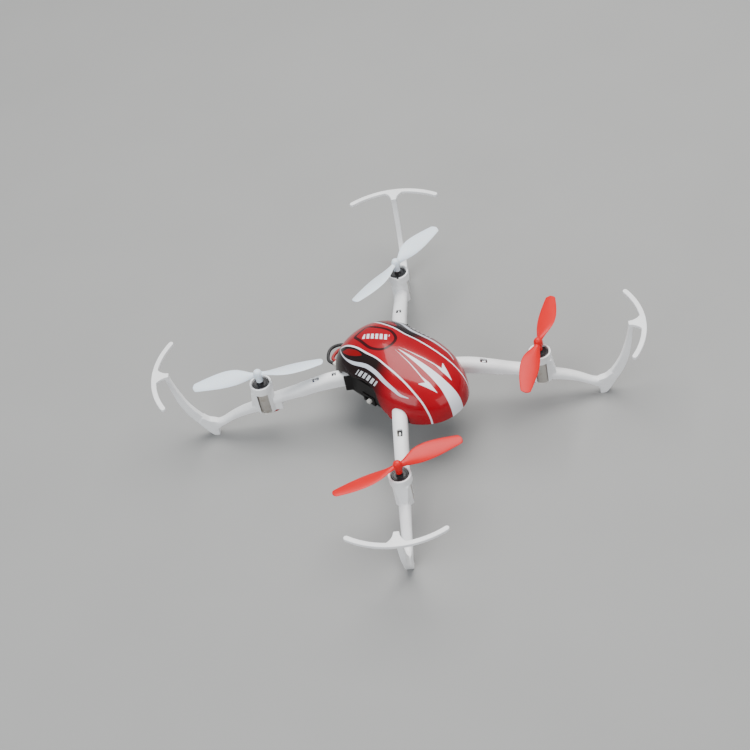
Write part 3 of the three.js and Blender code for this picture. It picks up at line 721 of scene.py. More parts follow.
# %% Channel covers
COVER = [(24.3, 22.5), (30, 21.6), (35, 20.7), (41, 19.1), (46, 18.1)]
strip = spline(COVER, 30)
strip_body = slab(np.vstack([strip, (strip + (0, 1))[::-1]]), -1.7, 1.7, upright=False)


def cover_hooks(name):
    hooks = []
    for at, long, _ in slots_of(name):
        roof = 25.0 if at > 30 else 26.8
        hooks.append(block((at - long / 2 + 0.6, at + long / 2 - 0.6), (-0.35, 0.35), (21.4, roof)))
    return hooks


for group in (ARM_NAMES[:1], ARM_NAMES[1:]):
    first_cover = moulded("first_cover", [strip_body, *cover_hooks(group[0])], [],
                          voxel=0.14, keep=0.4, softness=3)
    for name in group:
        cover = turned_copy(first_cover, "channel_cover_" + name, arm_angle(name))
        dressed(cover, "white_moulding", "arm_cover_" + name)
    discarded(first_cover)

# %% [markdown]
# ## Motors
#
# A coreless motor is a drawn can with a rolled edge, a raised bearing on top and a nylon cap at the
# bottom. Each is a turned body; fillets come from rounding the profile's corners before turning it.


# %% Cans, caps and shafts
def turned_piece(name, corners, fillet, x, y, sides=64):
    profile = rounded(corners, fillet, 3)
    rings = [ring + (x, y, 0) for ring in turned_body(profile, sides)]
    return piece_from(name, *skin(rings, caps=False), sharp=50)


CAN = [
    (0, 11.9), (3.3, 11.9), (3.5, 12.2), (3.5, 13.0), (3.42, 13.15), (3.5, 13.3), (3.5, 26.4),
    (3.2, 26.7), (2.7, 26.7), (2.6, 26.55), (1.4, 26.55), (1.3, 27.3), (0.6, 27.3), (0.6, 20.0), (0, 20.0),
]
CAP = [(0, 10.8), (2.9, 10.8), (3.3, 11.2), (3.3, 11.6), (0, 11.6)]
SHAFT = [(0, 20.3), (0.5, 20.3), (0.5, 32.5), (0.35, 32.7), (0, 32.7)]
for name in ARM_NAMES:
    low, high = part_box("motor_can_" + name)
    x, y = (low.x + high.x) / 2 / MM, (low.y + high.y) / 2 / MM
    dressed(turned_piece("can_" + name, CAN, 0.12, x, y), "motor_steel", "motor_can_" + name)
    dressed(turned_piece("cap_" + name, CAP, 0.15, x, y), "white_nylon", "motor_end_cap_" + name)
    dressed(turned_piece("shaft_" + name, SHAFT, 0.05, x, y, 24), "motor_steel", "motor_shaft_" + name)
    print("motor", name, "at", round(x, 2), round(y, 2))

# %% [markdown]
# ## Propellers
#
# A blade is a skin over rings that turn, widen and thin out towards the tip. Its chord grows fast
# from a narrow root, is widest before the middle and ends in a round tip. The two blades and the hub
# are fused with a join, because they are one moulding. Two propellers spin each way.

# %% One blade and the hub
# [radius, chord, pitch in degrees, thickness, shift towards the leading edge]
BLADE = [
    (0.9, 2.3, 14, 1.6, 0), (3, 3.1, 19, 1.3, 0.2), (5.5, 4.9, 20, 1.1, 0.5), (9, 7.0, 18, 1.0, 0.8),
    (13, 7.8, 15, 0.9, 0.8), (17, 7.4, 13, 0.8, 0.6), (21, 6.3, 11, 0.7, 0.3), (25, 4.8, 10, 0.6, -0.1),
    (27.5, 3.7, 10, 0.5, -0.3),
]
BLADE_RADIUS, BLADE_HEIGHT, TIP_ROUND = 27.5, 31.9, 1.1
HUB = [
    (0, 33.0), (0.8, 33.0), (0.8, 28.2), (1.4, 28.2), (1.4, 30.8), (1.9, 31.1), (1.9, 32.8),
    (1.5, 33.9), (0.8, 34.45), (0, 34.6),
]


def blade_rings(spin, flip):
    """Rings along a blade; flip is 1, or -1 for the one on the other side."""
    rings = []
    around = np.linspace(0, 2 * np.pi, 28, endpoint=False)
    tip = np.sin(np.linspace(0, np.pi / 2, 48))
    for radius, chord, pitch, thick, shift in spline(BLADE, 400)[(tip * 399).astype(int)]:
        beyond = max(0.0, (radius - (BLADE_RADIUS - TIP_ROUND)) / TIP_ROUND)
        chord = chord * math.sqrt(max(0.004, 1 - beyond ** 2))
        across = chord / 2 * np.cos(around)
        camber = 0.22 * thick * (1 - (2 * across / chord) ** 2)
        up = thick / 2 * np.sin(around) * np.abs(np.sin(around)) ** 0.2 + camber
        across = (across + shift) * spin
        turn = math.radians(pitch) * spin
        y = across * math.cos(turn) - up * math.sin(turn)
        z = across * math.sin(turn) + up * math.cos(turn)
        rings.append(np.stack([np.full(28, radius) * flip, y * flip, BLADE_HEIGHT + z], 1))
    return rings


def propeller_mesh(name, spin):
    profile = rounded(HUB, 0.35, 4)
    hub = piece_from(name, *skin(turned_body(profile, 48), caps=False))
    combined(hub, [blade_rings(spin, 1), blade_rings(spin, -1)], "UNION")
    smoothed(hub, 38)
    print(name, len(hub.data.polygons), "faces")
    return hub


# %% Four propellers
# [name, spin, angle at rest in degrees, finish]
ROTORS = [
    ("rear_right", -1, 142.2, "blade_white"), ("front_left", -1, 209.8, "blade_red"),
    ("rear_left", 1, 184.4, "blade_white"), ("front_right", 1, 158.9, "blade_red"),
]
for name, spin, rest, finish in ROTORS:
    propeller = propeller_mesh("blades_" + name, spin)
    low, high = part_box("motor_shaft_" + name)
    centre = Vector(((low.x + high.x) / 2, (low.y + high.y) / 2, 0))
    propeller.data.transform(Matrix.Translation(centre) @ Matrix.Rotation(math.radians(rest), 4, "Z"))
    dressed(propeller, finish, "propeller_" + name)

# %% [markdown]
# ## Wires
#
# The wires are tubes along the routes that the engineering model gives them, with more sides and a
# smoother curve. None of them hangs free: every one is held at both ends.

# %% Motor wires
WIRE_ROUTE = [
    (57.0, 0.75, 10.15), (55.2, 0.7, 10.2), (53.6, 0.65, 10.8), (52.7, 0.6, 12.6), (52.5, 0.6, 15.4),
    (51.2, 0.7, 17.8), (49.2, 0.9, 18.7), (46.6, 1.15, 19.7), (41.0, 1.2, 21.4), (35.0, 1.2, 23.2),
    (30.0, 1.2, 24.3), (25.0, 1.2, 25.4), (20.5, 1.2, 26.2), (15.8, 1.2, 26.6),
]
WIRE_PAIRS = {"rear_right": ("red", "blue"), "front_left": ("red", "blue"),
              "rear_left": ("black", "white"), "front_right": ("black", "white")}
for name, pair in WIRE_PAIRS.items():
    for colour, side in zip(pair, (1, -1)):
        route = np.array(WIRE_ROUTE) * (1, side, 1)
        wire = joined(f"lead_{colour}_{name}", [tube(route, 0.35, 80, 12)])
        wire.data.transform(Matrix.Rotation(arm_angle(name), 4, "Z"))
        dressed(wire, "wire_" + colour, f"motor_wire_{colour}_{name}")
print("8 motor wires")


# %% Battery lead, socket wires and antenna
def battery_lead(start, bow, end):
    """Bows out behind the tail, from the battery round to the plug."""
    return [
        (start, 28.6, 17.2), (start - 0.1, 28.6 + 0.5 * bow, 17.6),
        ((2 * start + end) / 3, 28.6 + 0.93 * bow, 17.5), ((start + 2 * end) / 3, 28.6 + bow, 17.1),
        (end + 0.1, 32.7 + 0.33 * bow, 16.5), (end, 32.7, 16.2),
    ]


def socket_wire(x):
    return [
        (x, 18.2, 16.2), (x, 17.2, 16.6), (x + 0.1, 16.5, 18.6), (x + 0.3, 16.4, 22.5),
        (x + 0.3, 16.4, 26.1),
    ]


ANTENNA = [
    (4.6, -9.4, 29.95), (5, -6, 30.9), (6.2, -1, 32), (7, 5, 33), (4.2, 12, 33), (-2, 14.6, 32.4),
]
for name, route, radius, finish, node in [
    ("pack_lead_black", battery_lead(3.0, 10.6, -8.6), 0.7, "wire_black", "battery_lead_black"),
    ("pack_lead_red", battery_lead(0.9, 7.4, -6.95), 0.7, "wire_red", "battery_lead_red"),
    ("board_lead_black", socket_wire(-8.9), 0.5, "wire_black", "socket_wire_black"),
    ("board_lead_red", socket_wire(-6.9), 0.5, "wire_red", "socket_wire_red"),
    ("aerial", ANTENNA, 0.3, "wire_black", "antenna_wire"),
]:
    dressed(joined(name, [tube(route, radius, 70, 16)]), finish, node)
    length = np.linalg.norm(np.diff(spline(route, 200), axis=0), axis=1).sum()
    print(name, round(length, 1), "mm long")

# %% [markdown]
# ## Canopy
#
# The canopy is a thin lacquered dome, and gloss shows every ripple in a surface. So its outside is
# not modelled but computed: every point lies exactly on one smooth formula, a rounded plan that
# shrinks as a superellipse towards the crown. Columns of the grid run down from the crown and stop at
# the canopy's edge, which climbs over the arms and along the sides.

# %% The dome's formula
HALF_WIDTH, WAIST, WAIST_REACH = 21.4, 0.08, 6
NOSE, TAIL, BROADEST = 37.0, 25.6, 3.9
RIM, CROWN, WALL = 21.3, 39.44, 1.0
PLAN, NOSE_FALL, TAIL_FALL, RISE = 2.2, 2.5, 1.9, 2.5


def plan_radius(turn):
    across, along = np.abs(np.cos(turn)), np.abs(np.sin(turn))
    length = np.where(np.sin(turn) < 0, NOSE, TAIL)
    total = (across / HALF_WIDTH) ** PLAN + (along / length) ** PLAN
    return total ** (-1 / PLAN) * (1 - WAIST * across ** WAIST_REACH)


def dome_point(turn, climb):
    """A point on the outside; climb is 0 at the crown and a quarter turn at the rim."""
    fall = NOSE_FALL + (TAIL_FALL - NOSE_FALL) * (1 + np.sin(turn)) / 2
    radius = plan_radius(turn) * np.sin(climb) ** (2 / fall)
    height = RIM + (CROWN - RIM) * np.cos(climb) ** (2 / RISE)
    return np.stack([radius * np.cos(turn), BROADEST + radius * np.sin(turn), height], -1)


def climb_at(height):
    return np.arccos(np.clip((height - RIM) / (CROWN - RIM), 0, 1) ** (RISE / 2))


print("crown at", dome_point(np.array(0.0), np.array(0.001)).round(2).tolist())

# %% The canopy's edge
SIDE_EDGE = [
    (-12.6, 23.0), (-10.4, 24.2), (-8.6, 26.6), (-7.2, 29.4), (-5.8, 31.2), (-2.4, 32.3), (2.4, 32.2),
    (8, 31.4), (14.4, 30.6), (17, 29.2),
]
ARCH_HALF, ARCH_TOP, ARCH_CORNER = 3.3, 28.2, 2.8
COLUMNS = 960


def edge_height(turn):
    """How high the canopy's edge is in each direction."""
    spot = dome_point(turn, climb_at(25.0 + 0 * turn))
    edge = np.full(len(turn), RIM)
    length, height = np.array(SIDE_EDGE).T
    curve = spline(SIDE_EDGE, 60)
    beside = (spot[:, 1] > length[0]) & (spot[:, 1] < length[-1])
    edge = np.where(beside, np.interp(spot[:, 1], curve[:, 0], curve[:, 1]), edge)
    for name in ARM_NAMES:
        along = np.array([math.cos(arm_angle(name)), math.sin(arm_angle(name))])
        off = np.abs(spot[:, 0] * along[1] - spot[:, 1] * along[0])
        ahead = spot[:, :2] @ along
        into = np.clip(off - (ARCH_HALF - ARCH_CORNER), 0, ARCH_CORNER)
        arch = ARCH_TOP - ARCH_CORNER + np.sqrt(np.clip(ARCH_CORNER ** 2 - into ** 2, 0, None))
        edge = np.where((off < ARCH_HALF) & (ahead > 0), np.maximum(edge, arch), edge)
    padded = np.concatenate([edge[-2:], edge, edge[:2]])
    return np.convolve(padded, np.ones(5) / 5, "valid")


turns = np.linspace(0, 2 * np.pi, COLUMNS, endpoint=False)
edge = edge_height(turns)
print("edge between", edge.min().round(1), "and", edge.max().round(1), "mm")

# %% Outside, inside and a rounded lip
ROWS, INNER_ROWS, LIP = 110, 30, 8


def dome_grid(rows, edge_at):
    share = np.linspace(0, 1, rows)[:, None]
    climb = np.maximum(climb_at(edge_at)[None] * share, 0.002)
    return dome_point(np.broadcast_to(turns, climb.shape), climb)


def dome_normal(turn, climb, step=1e-3):
    """The outward normal, from two short steps along the surface."""
    climb = np.clip(climb, 0.02, np.pi / 2 - 0.02)
    round_it = dome_point(turn + step, climb) - dome_point(turn - step, climb)
    down_it = dome_point(turn, climb + step) - dome_point(turn, climb - step)
    out = np.cross(down_it, round_it)
    return out / np.linalg.norm(out, axis=-1, keepdims=True)


outside = dome_grid(ROWS, edge)
rim_climb = climb_at(edge)
out_at_rim = dome_normal(turns, rim_climb)
along_rim = np.roll(outside[-1], -1, 0) - np.roll(outside[-1], 1, 0)
along_rim /= np.linalg.norm(along_rim, axis=1)[:, None]
down_at_rim = np.cross(along_rim, out_at_rim)
down_at_rim *= np.sign((down_at_rim * (outside[-1] - outside[-2])).sum(1))[:, None]
middle = outside[-1] - out_at_rim * WALL / 2
half_turns = np.linspace(0, np.pi, LIP + 1)[1:-1]
lip = [middle + WALL / 2 * (math.cos(a) * out_at_rim + 0.7 * math.sin(a) * down_at_rim) for a in half_turns]
inner_share = np.linspace(1, 0, INNER_ROWS)[:, None]
inner_climb = np.maximum(rim_climb[None] * inner_share, 0.002)
inner_turns = np.broadcast_to(turns, inner_climb.shape)
inside = dome_point(inner_turns, inner_climb) - WALL * dome_normal(inner_turns, inner_climb)
canopy_rings = np.concatenate([outside, np.array(lip), inside])
print("canopy grid:", canopy_rings.shape[0], "rings of", canopy_rings.shape[1])

# %% [markdown]
# ### The canopy's decals
#
# The decals are printed under the clear coat: white lines that run from tail to nose, a grey wave, a
# white wedge on the nose, two arrows, black sides that fade into the red, an outlined shield and slanted
# bars. They could be drawn into a picture, but measured distances stay sharp at any size: each point
# of the dome stores how far it is from each line, divided by the line's half width, and the shader
# only asks where that number is below one.

# %% Distances on the dome
spots = canopy_rings.reshape(-1, 3)
folded = np.abs(spots) * (1, 0, 0) + spots * (0, 1, 1)


def on_dome(points):
    """Moves rough points sideways onto the dome, so that lines lie on it."""
    p = np.asarray(points, float)
    turn = np.arctan2(p[:, 1] - BROADEST, p[:, 0])
    snapped = dome_point(turn, climb_at(p[:, 2]))
    out = np.hypot(p[:, 0], p[:, 1] - BROADEST)
    reach = np.hypot(snapped[:, 0], snapped[:, 1] - BROADEST)
    scale = np.where(p[:, 2] > 38, 1, reach / np.maximum(out, 1e-6))[:, None]
    centre = np.array([0, BROADEST])
    return np.concatenate([centre + (p[:, :2] - centre) * scale, p[:, 2:]], 1)


LINE_STEPS = 240  # points along a line
SPOTS_AT_ONCE = 8000  # keeps the table of distances small
FARTHEST = 30  # half widths; beyond it a spot is simply off the line


def line_distance(points, half_widths):
    """Signed distance from a line on the dome over the line's half width there."""
    path = spline(on_dome(points), LINE_STEPS)
    steps = np.linspace(0, 1, LINE_STEPS)
    width = np.interp(steps, np.linspace(0, 1, len(half_widths)), half_widths)
    ahead = np.gradient(path, axis=0)
    ahead /= np.linalg.norm(ahead, axis=1)[:, None]
    across = np.empty(len(spots))
    for start in range(0, len(spots), SPOTS_AT_ONCE):
        some = folded[start:start + SPOTS_AT_ONCE]
        gap = some[:, None, :] - path[None]
        near = (gap ** 2).sum(2).argmin(1)
        offset = gap[np.arange(len(some)), near]
        along = ahead[near]
        beyond = (offset * along).sum(1)
        sideways = offset - along * beyond[:, None]
        sign = np.sign(sideways[:, 0] - 0.6 * sideways[:, 2])
        past_end = np.where((near == 0) | (near == LINE_STEPS - 1), np.abs(beyond), 0)
        distance = np.hypot(np.linalg.norm(sideways, axis=1), past_end)
        across[start:start + SPOTS_AT_ONCE] = sign * distance / width[near]
    return np.clip(across, -FARTHEST, FARTHEST)


def inside_outline(points, x, y):
    """Signed distance to a closed outline in a flat view, positive inside, in millimetres."""
    shape = np.asarray(points, float)
    distance = np.full(len(x), 1e9)
    within = np.zeros(len(x), bool)
    for (ax, ay), (bx, by) in zip(shape, np.roll(shape, -1, 0)):
        ex, ey = bx - ax, by - ay
        t = np.clip(((x - ax) * ex + (y - ay) * ey) / max(ex * ex + ey * ey, 1e-12), 0, 1)
        distance = np.minimum(distance, np.hypot(x - ax - t * ex, y - ay - t * ey))
        crosses = (ay > y) != (by > y)
        with np.errstate(divide="ignore", invalid="ignore"):
            within ^= crosses & (x < ax + (y - ay) * ex / np.where(ey == 0, 1, ey))
    return np.where(within, distance, -distance)


print(len(spots), "points to measure")

# %% Lines, wave, wedge and arrows
LINE = [
    (9.2, 23.8, 31.6), (8.8, 21, 34.5), (8.9, 15, 37), (8.6, 8, 38), (8.5, 2, 38.5), (9.1, -4, 38.3),
    (9.7, -10, 37.5), (10.1, -16, 36), (10.7, -22, 33.3), (10.9, -25.4, 30.6), (11.0, -27.6, 27),
    (11.0, -28.6, 24), (11.0, -29.0, 21.2),
]
WAVE = [
    (9.4, 23.6, 31.4), (11.2, 21.9, 32.1), (13.7, 16.3, 33.7), (14.2, 11, 34.8), (13.5, 6.3, 35.8),
    (13.3, 2.9, 36.2), (13.9, -2.6, 36.2), (14.5, -8.2, 35.3), (14.7, -13.1, 34.2),
    (14.6, -16.5, 33.1), (13.4, -20, 32.5),
]
WAVE_WIDTHS = (0.25, 0.25, 0.3, 0.68, 0.85, 0.85, 0.85, 0.8, 0.68, 0.5, 0.18)
LINE_HALF = 0.36
ARROW = [
    (1.0, -1.5), (2.7, -11.3), (4.3, -19), (4.8, -21.8), (7.3, -19.8), (5.7, -24), (4.2, -27.6),
    (3.7, -23), (3.9, -19.1), (2.35, -11.3),
]
WEDGE = [(0, -2), (0.65, -10), (1.35, -19), (2.0, -27), (2.8, -31.5), (3.2, -34)]
line = line_distance(LINE, [LINE_HALF])
wave = line_distance(WAVE, WAVE_WIDTHS)
wedge_half = np.interp(-spots[:, 1], [-y for _, y in WEDGE], [x for x, _ in WEDGE], left=-3)
marks = {
    "line": np.abs(line),
    "wave": np.abs(wave),
    "wedge": wedge_half - folded[:, 0],
    "arrow": inside_outline(ARROW, folded[:, 0], spots[:, 1]),
}
print("decals:", ", ".join(marks))

# %% Shield, eye, bars and the black sides
half_shield = spline([
    (0, 1.0), (2.8, 1.5), (4.9, 3.3), (6.3, 6.8), (6.4, 10), (5.4, 15), (4.4, 19.6), (3.2, 20.8), (0, 21.0),
], 60)
shield = np.vstack([half_shield, (half_shield * (-1, 1))[::-1]])
EYE = [
    (20.6, 33.0), (18.3, 35.0), (14.6, 36.5), (11.6, 37.2), (9.0, 37.3), (11.0, 36.5), (13.6, 35.6),
    (17.2, 34.3),
]
outer_half = folded[:, 0] > 7
marks["shield"] = inside_outline(shield, spots[:, 0], spots[:, 1])
eye = inside_outline(spline([*EYE, EYE[0]], 60), spots[:, 1], spots[:, 2])
marks["eye"] = np.where(outer_half, eye, -9)
band_height = np.interp(spots[:, 1], [-6, 1, 8, 14], [33.6, 33.9, 33.3, 32.4])
marks["bars_along"] = np.where(outer_half, spots[:, 1], -99)
marks["bars_up"] = spots[:, 2] - band_height
marks["side"] = np.clip(line * LINE_HALF, -6, 6)
marks["fade"] = spots[:, 1] + 0.4 * (folded[:, 0] - 9)
marks["length"] = spots[:, 1]
marks["width"] = spots[:, 0]

canopy = piece_from("lacquered_canopy", *skin(canopy_rings), weld=False)
print("canopy has", len(canopy.data.polygons), "faces, from", len(spots), "grid points")

# %% Store the marks and finish the canopy
for name, values in marks.items():
    store = canopy.data.attributes.new(name, "FLOAT", "POINT")
    store.data.foreach_set("value", values.astype(np.float32))


def lacquer():
    made = Finish("canopy_lacquer", Coat_Weight=0.42, Coat_Roughness=0.09, Coat_IOR=1.5,
                  Specular_IOR_Level=0.12)
    read = {name: made.attribute(name) for name in marks}
    blur = 0.06

    def painted(edge, soft=blur):
        """1 inside an edge given in millimetres, 0 outside."""
        return made.between(edge, -soft, soft)

    def stripe(distance, soft=0.14):
        return made.between(distance, 1 + soft, 1 - soft)

    clouds = made.noise(14, 2)
    red = made.mix(made.between(clouds, 0.3, 0.7), (0.345, 0.0005, 0.0085), (0.29, 0.0004, 0.007))
    spray = made.noise(0.35, 2, 0.7)
    fading = made.between(read["fade"] + 2 * (spray - 0.5), -9.5, 1.0)
    black = made.between(read["side"], 0.1, 0.35) * fading
    eye_rim = made.between(read["eye"], -0.5, -0.35)
    eye = painted(read["eye"])
    body = made.mix(black, red, (0.012, 0.006, 0.006))
    body = made.mix(eye_rim * (read["side"] > 0.3), body, (0.010, 0.005, 0.005))
    body = made.mix(eye, body, (0.20, 0.002, 0.004))
    white = (0.80, 0.82, 0.88)
    line_end = read["length"] < 24.0
    wave_fade = made.between(read["length"], 24, 17, 0.75, 1.0)
    body = made.mix(stripe(read["line"]) * line_end, body, white)
    body = made.mix(stripe(read["wave"]) * wave_fade, body, (0.56, 0.58, 0.66))
    body = made.mix(painted(read["wedge"]), body, white)
    body = made.mix(painted(read["arrow"]), body, white)
    outline = made.between(abs(read["shield"] - 0.5), 0.72, 0.55)
    body = made.mix(outline * 0.95, body, (0.022, 0.002, 0.003))
    # Bars in place of lettering: slanted, in the shield and along each side
    ahead = read["length"] - 10.8
    row = 0.42 * read["width"] - 0.908 * ahead
    rise = 0.908 * read["width"] + 0.42 * ahead
    in_shield = made.between(abs(rise), 1.6, 1.45) * made.between(abs(row), 5.9, 5.8)
    gaps = made.node("Math", {"operation": "FRACT"}, {0: 0.5 * row + 0.16 * rise + 20.05})
    body = made.mix(in_shield * (gaps < 0.62), body, white)
    beside = made.between(abs(read["bars_up"]), 0.95, 0.85)
    slant = read["bars_along"] + 0.4 * read["bars_up"]
    in_band = beside * (slant > -4.6) * (slant < 7.0)
    steps = made.node("Math", {"operation": "FRACT"}, {0: (slant + 40) * 0.43})
    body = made.mix(in_band * (steps < 0.62), body, (0.52, 0.53, 0.56))
    made.set("Base Color", body)
    dust = made.between(made.noise(0.6, 4, 0.7), 0.62, 0.75)
    smears = made.noise(7, 3, 0.5, made.place(x=2.2))
    made.set("Roughness", 0.20 + 0.10 * smears + 0.15 * dust)
    raised = stripe(read["line"], 0.3) + stripe(read["wave"], 0.3) + painted(read["wedge"], 0.15)
    made.bump(0.15 * raised + 0.10 * made.noise(1.1, 2) + 0.25 * made.noise(6, 1), 0.02)
    return made.material


FINISHES["canopy_lacquer"] = lacquer()
dressed(canopy, "canopy_lacquer", "canopy")
print("lacquer has", len(FINISHES["canopy_lacquer"].node_tree.nodes), "nodes")

# %% [markdown]
# ## Lower shell
#
# The lower shell is a black tub with sloping bilges, two tall sides between the arms, a shelf for the
# nose of the canopy, screw posts inside and a bridge that the board stands on. Like the arms, it is
# assembled from skins, cut where the arms, battery and switch go, and then moulded.

# %% The tub's rings
SHELL_HALF, SHELL_TAIL, SHELL_NOSE = 15.0, 24.6, -30.0
SHELL_BOTTOM, SHELL_FLOOR, SHELL_TOP = 12.5, 13.3, 24.6
# [height, inset, bow]: bow draws the nose back, as in a boat's hull
HULL = [(12.5, 2.9, 1), (13.1, 2.3, 0.9), (17.6, 0, 0.35), (20.2, 0, 0), (24.6, 0, 0)]
BAY = [(13.3, 3.5, 0.9), (17.6, 1.2, 0.35), (20.2, 1.2, 0), (25.6, 1.2, 0)]


def cubic(a, b, c, d, steps=14):
    t = np.linspace(0, 1, steps, endpoint=False)[:, None]
    a, b, c, d = (np.array(p, float) for p in (a, b, c, d))
    return (1 - t) ** 3 * a + 3 * t * (1 - t) ** 2 * b + 3 * t * t * (1 - t) * c + t ** 3 * d


def shell_ring(z, inset, bow):
    wide, tail, nose = SHELL_HALF - inset, SHELL_TAIL - inset, SHELL_NOSE + inset + 3.5 * bow
    bulge, quarter, beam = 8 - 1.5 * bow, -24 + 6 * bow, -13 + 6 * bow
    third = (15 - beam) / 3
    right_side = np.vstack([
        cubic((0, nose), (bulge, nose), (wide, quarter), (wide, beam)),
        cubic((wide, beam), (wide, beam + third), (wide, 15 - third), (wide, 15)),
        cubic((wide, 15), (wide, 21), (12 - inset, tail), (7.5, tail)),
        [(7.5, tail), (3.5, tail)],
    ])
    left_side = (right_side * (-1, 1))[::-1][:-1]
    plan = np.vstack([right_side, left_side])
    return np.concatenate([plan, np.full((len(plan), 1), z)], 1)


def canopy_ring(inset, z):
    turn = np.linspace(0, 2 * np.pi, 120, endpoint=False)
    out = plan_radius(turn) - inset
    return np.stack([out * np.cos(turn), BROADEST + out * np.sin(turn), np.full(120, z)], 1)


def at_arm(rings, name, out=0.0):
    turn = arm_angle(name)
    spin = np.array([[math.cos(turn), math.sin(turn), 0], [-math.sin(turn), math.cos(turn), 0], [0, 0, 1]])
    return [(np.asarray(ring) + (out, 0, 0)) @ spin for ring in rings]


def at(rings, x, y):
    return [np.asarray(ring) + (x, y, 0) for ring in rings]


print("shell ring:", len(shell_ring(*HULL[0])), "points")

# %% Tub, sides, posts and openings
FLANGE_TOP, FLANGE_THICK, FLANGE_END = 21.0, 0.6, -12.8
# Between the arms the sides flare out and stand higher: [across, height]
SIDE_WALL = [(14.2, 17.8), (14.9, 18.0), (16.9, 21.6), (16.9, 30.4), (15.8, 30.4), (15.8, 22.4), (13.9, 20.4)]
SIDE_FROM, SIDE_TO = -7.6, 11.2
CHEEK = {"out": (19.4, 22.6), "flank": (3.7, 4.6), "up": (21.4, 29.4)}
CANOPY_SCREWS = {"nose": (0, -19.6), "left": (8.7, -7.6), "right": (-8.7, -7.6)}
BOARD_SCREWS = {"left": (7.2, 2), "right": (-7.2, 2)}


def side_wall(side):
    outline = np.array(SIDE_WALL) * (side, 1)
    return slab(outline, SIDE_FROM, SIDE_TO, upright=False)


def cheek(name, side):
    """Carries the side on along the rear arm, out to the canopy's edge."""
    near, far = CHEEK["flank"]
    flank = (-far, -near) if side > 0 else (near, far)
    return at_arm(block(CHEEK["out"], flank, CHEEK["up"]), name)


front = canopy_ring(1.0, 0)
front = front[front[:, 1] < FLANGE_END]
front = front[np.argsort(np.arctan2(front[:, 1] - 10, front[:, 0]))]
flange = slab(front[:, :2], FLANGE_TOP - FLANGE_THICK, FLANGE_TOP)
tub = [shell_ring(*ring) for ring in HULL]
bay = [shell_ring(*ring) for ring in BAY]
shell = joined("shell_moulding", [tub])
combined(shell, [flange], "UNION")
combined(shell, [bay], "DIFFERENCE")
inner_parts = [
    side_wall(1), side_wall(-1), cheek("rear_left", 1), cheek("rear_right", -1),
    block((-14.2, 14.2), (-5, 8), (20.6, 21.6)),
    *[at(bar(1.4, 21, 26.1), x, y) for x, y in BOARD_SCREWS.values()],
    *[at(bar(1.8, SHELL_BOTTOM + 0.2, SHELL_TOP), x, y) for x, y in CANOPY_SCREWS.values()],
    *[at_arm(bar(2, 17.4, 21.6), name, 17.5) for name in ARM_NAMES],
]
combined(shell, inner_parts, "UNION")
tunnel = [(12 if out == 20.5 else out, top + 0.4, 21.5, wide + 0.8) for out, top, _, wide in INNER_SPAR[:4]]
shell_cuts = [
    *[at_arm(spar(tunnel, 12), name) for name in ARM_NAMES],
    *[at_arm(bar(0.85, 17.9, 23), name, 17.5) for name in ARM_NAMES],
    *[at(bar(0.8, 21.9, 27), x, y) for x, y in BOARD_SCREWS.values()],
    *[at(bar(0.9, 10, 30), x, y) for x, y in CANOPY_SCREWS.values()],
    *[at(bar(1.5, 10, 14.3), x, y) for x, y in CANOPY_SCREWS.values()],
    block((-10.9, 9.8), (18, 30), (SHELL_FLOOR, 30)),
    block((-20, -13.6), (-2.3, 4.9), (19.1, 24.1)),
]
combined(shell, shell_cuts, "DIFFERENCE")
applied(shell, ("REMESH", {"mode": "VOXEL", "voxel_size": 0.2 * MM}),
        ("SMOOTH", {"factor": 0.5, "iterations": 4}), ("DECIMATE", {"ratio": 0.3}))
shell.data.shade_smooth()
dressed(shell, "black_moulding", "lower_shell")
print("shell has", len(shell.data.polygons), "faces")

# %% [markdown]
# ## Small parts
#
# The rest are small: screws, the slide switch, the connector, the battery and the board with its
# chips. Where the engineering part has the right outline and only lacks soft edges, its mesh is
# copied, its flat triangles are merged and its edges are bevelled. That keeps every hole and slot.


# %% Soften a copy of an engineering part
def softened(name, node, slot, width, segments=3):
    source = frame["nodes"][node]
    piece = bpy.data.objects.new(name, source.data.copy())
    bpy.context.collection.objects.link(piece)
    shape = bmesh.new()
    shape.from_mesh(piece.data)
    bmesh.ops.remove_doubles(shape, verts=shape.verts, dist=1e-7)
    flat = math.radians(3)
    bmesh.ops.dissolve_limit(shape, angle_limit=flat, verts=shape.verts, edges=shape.edges)
    shape.to_mesh(piece.data)
    shape.free()
    applied(piece, ("BEVEL", {"width": width * MM, "segments": segments, "limit_method": "ANGLE",
                              "angle_limit": math.radians(35), "harden_normals": False}))
    smoothed(piece, 50)
    return dressed(piece, slot, node)


for name, node, slot, width in [
    ("switch_body", "switch_housing", "black_moulding", 0.25),
    ("plug_socket", "lead_socket", "white_nylon", 0.18),
    ("circuit_card", "main_board", "circuit_board", 0.08),
    ("controller_chip", "main_chip", "chip_epoxy", 0.1),
    ("motion_chip", "gyro_chip", "chip_epoxy", 0.08),
    ("shield_can", "radio_can", "can_tinplate", 0.25),
    ("lamp", "status_led", "lamp_resin", 0.2),
]:
    piece = softened(name, node, slot, width)
    print(name, len(piece.data.polygons), "faces")


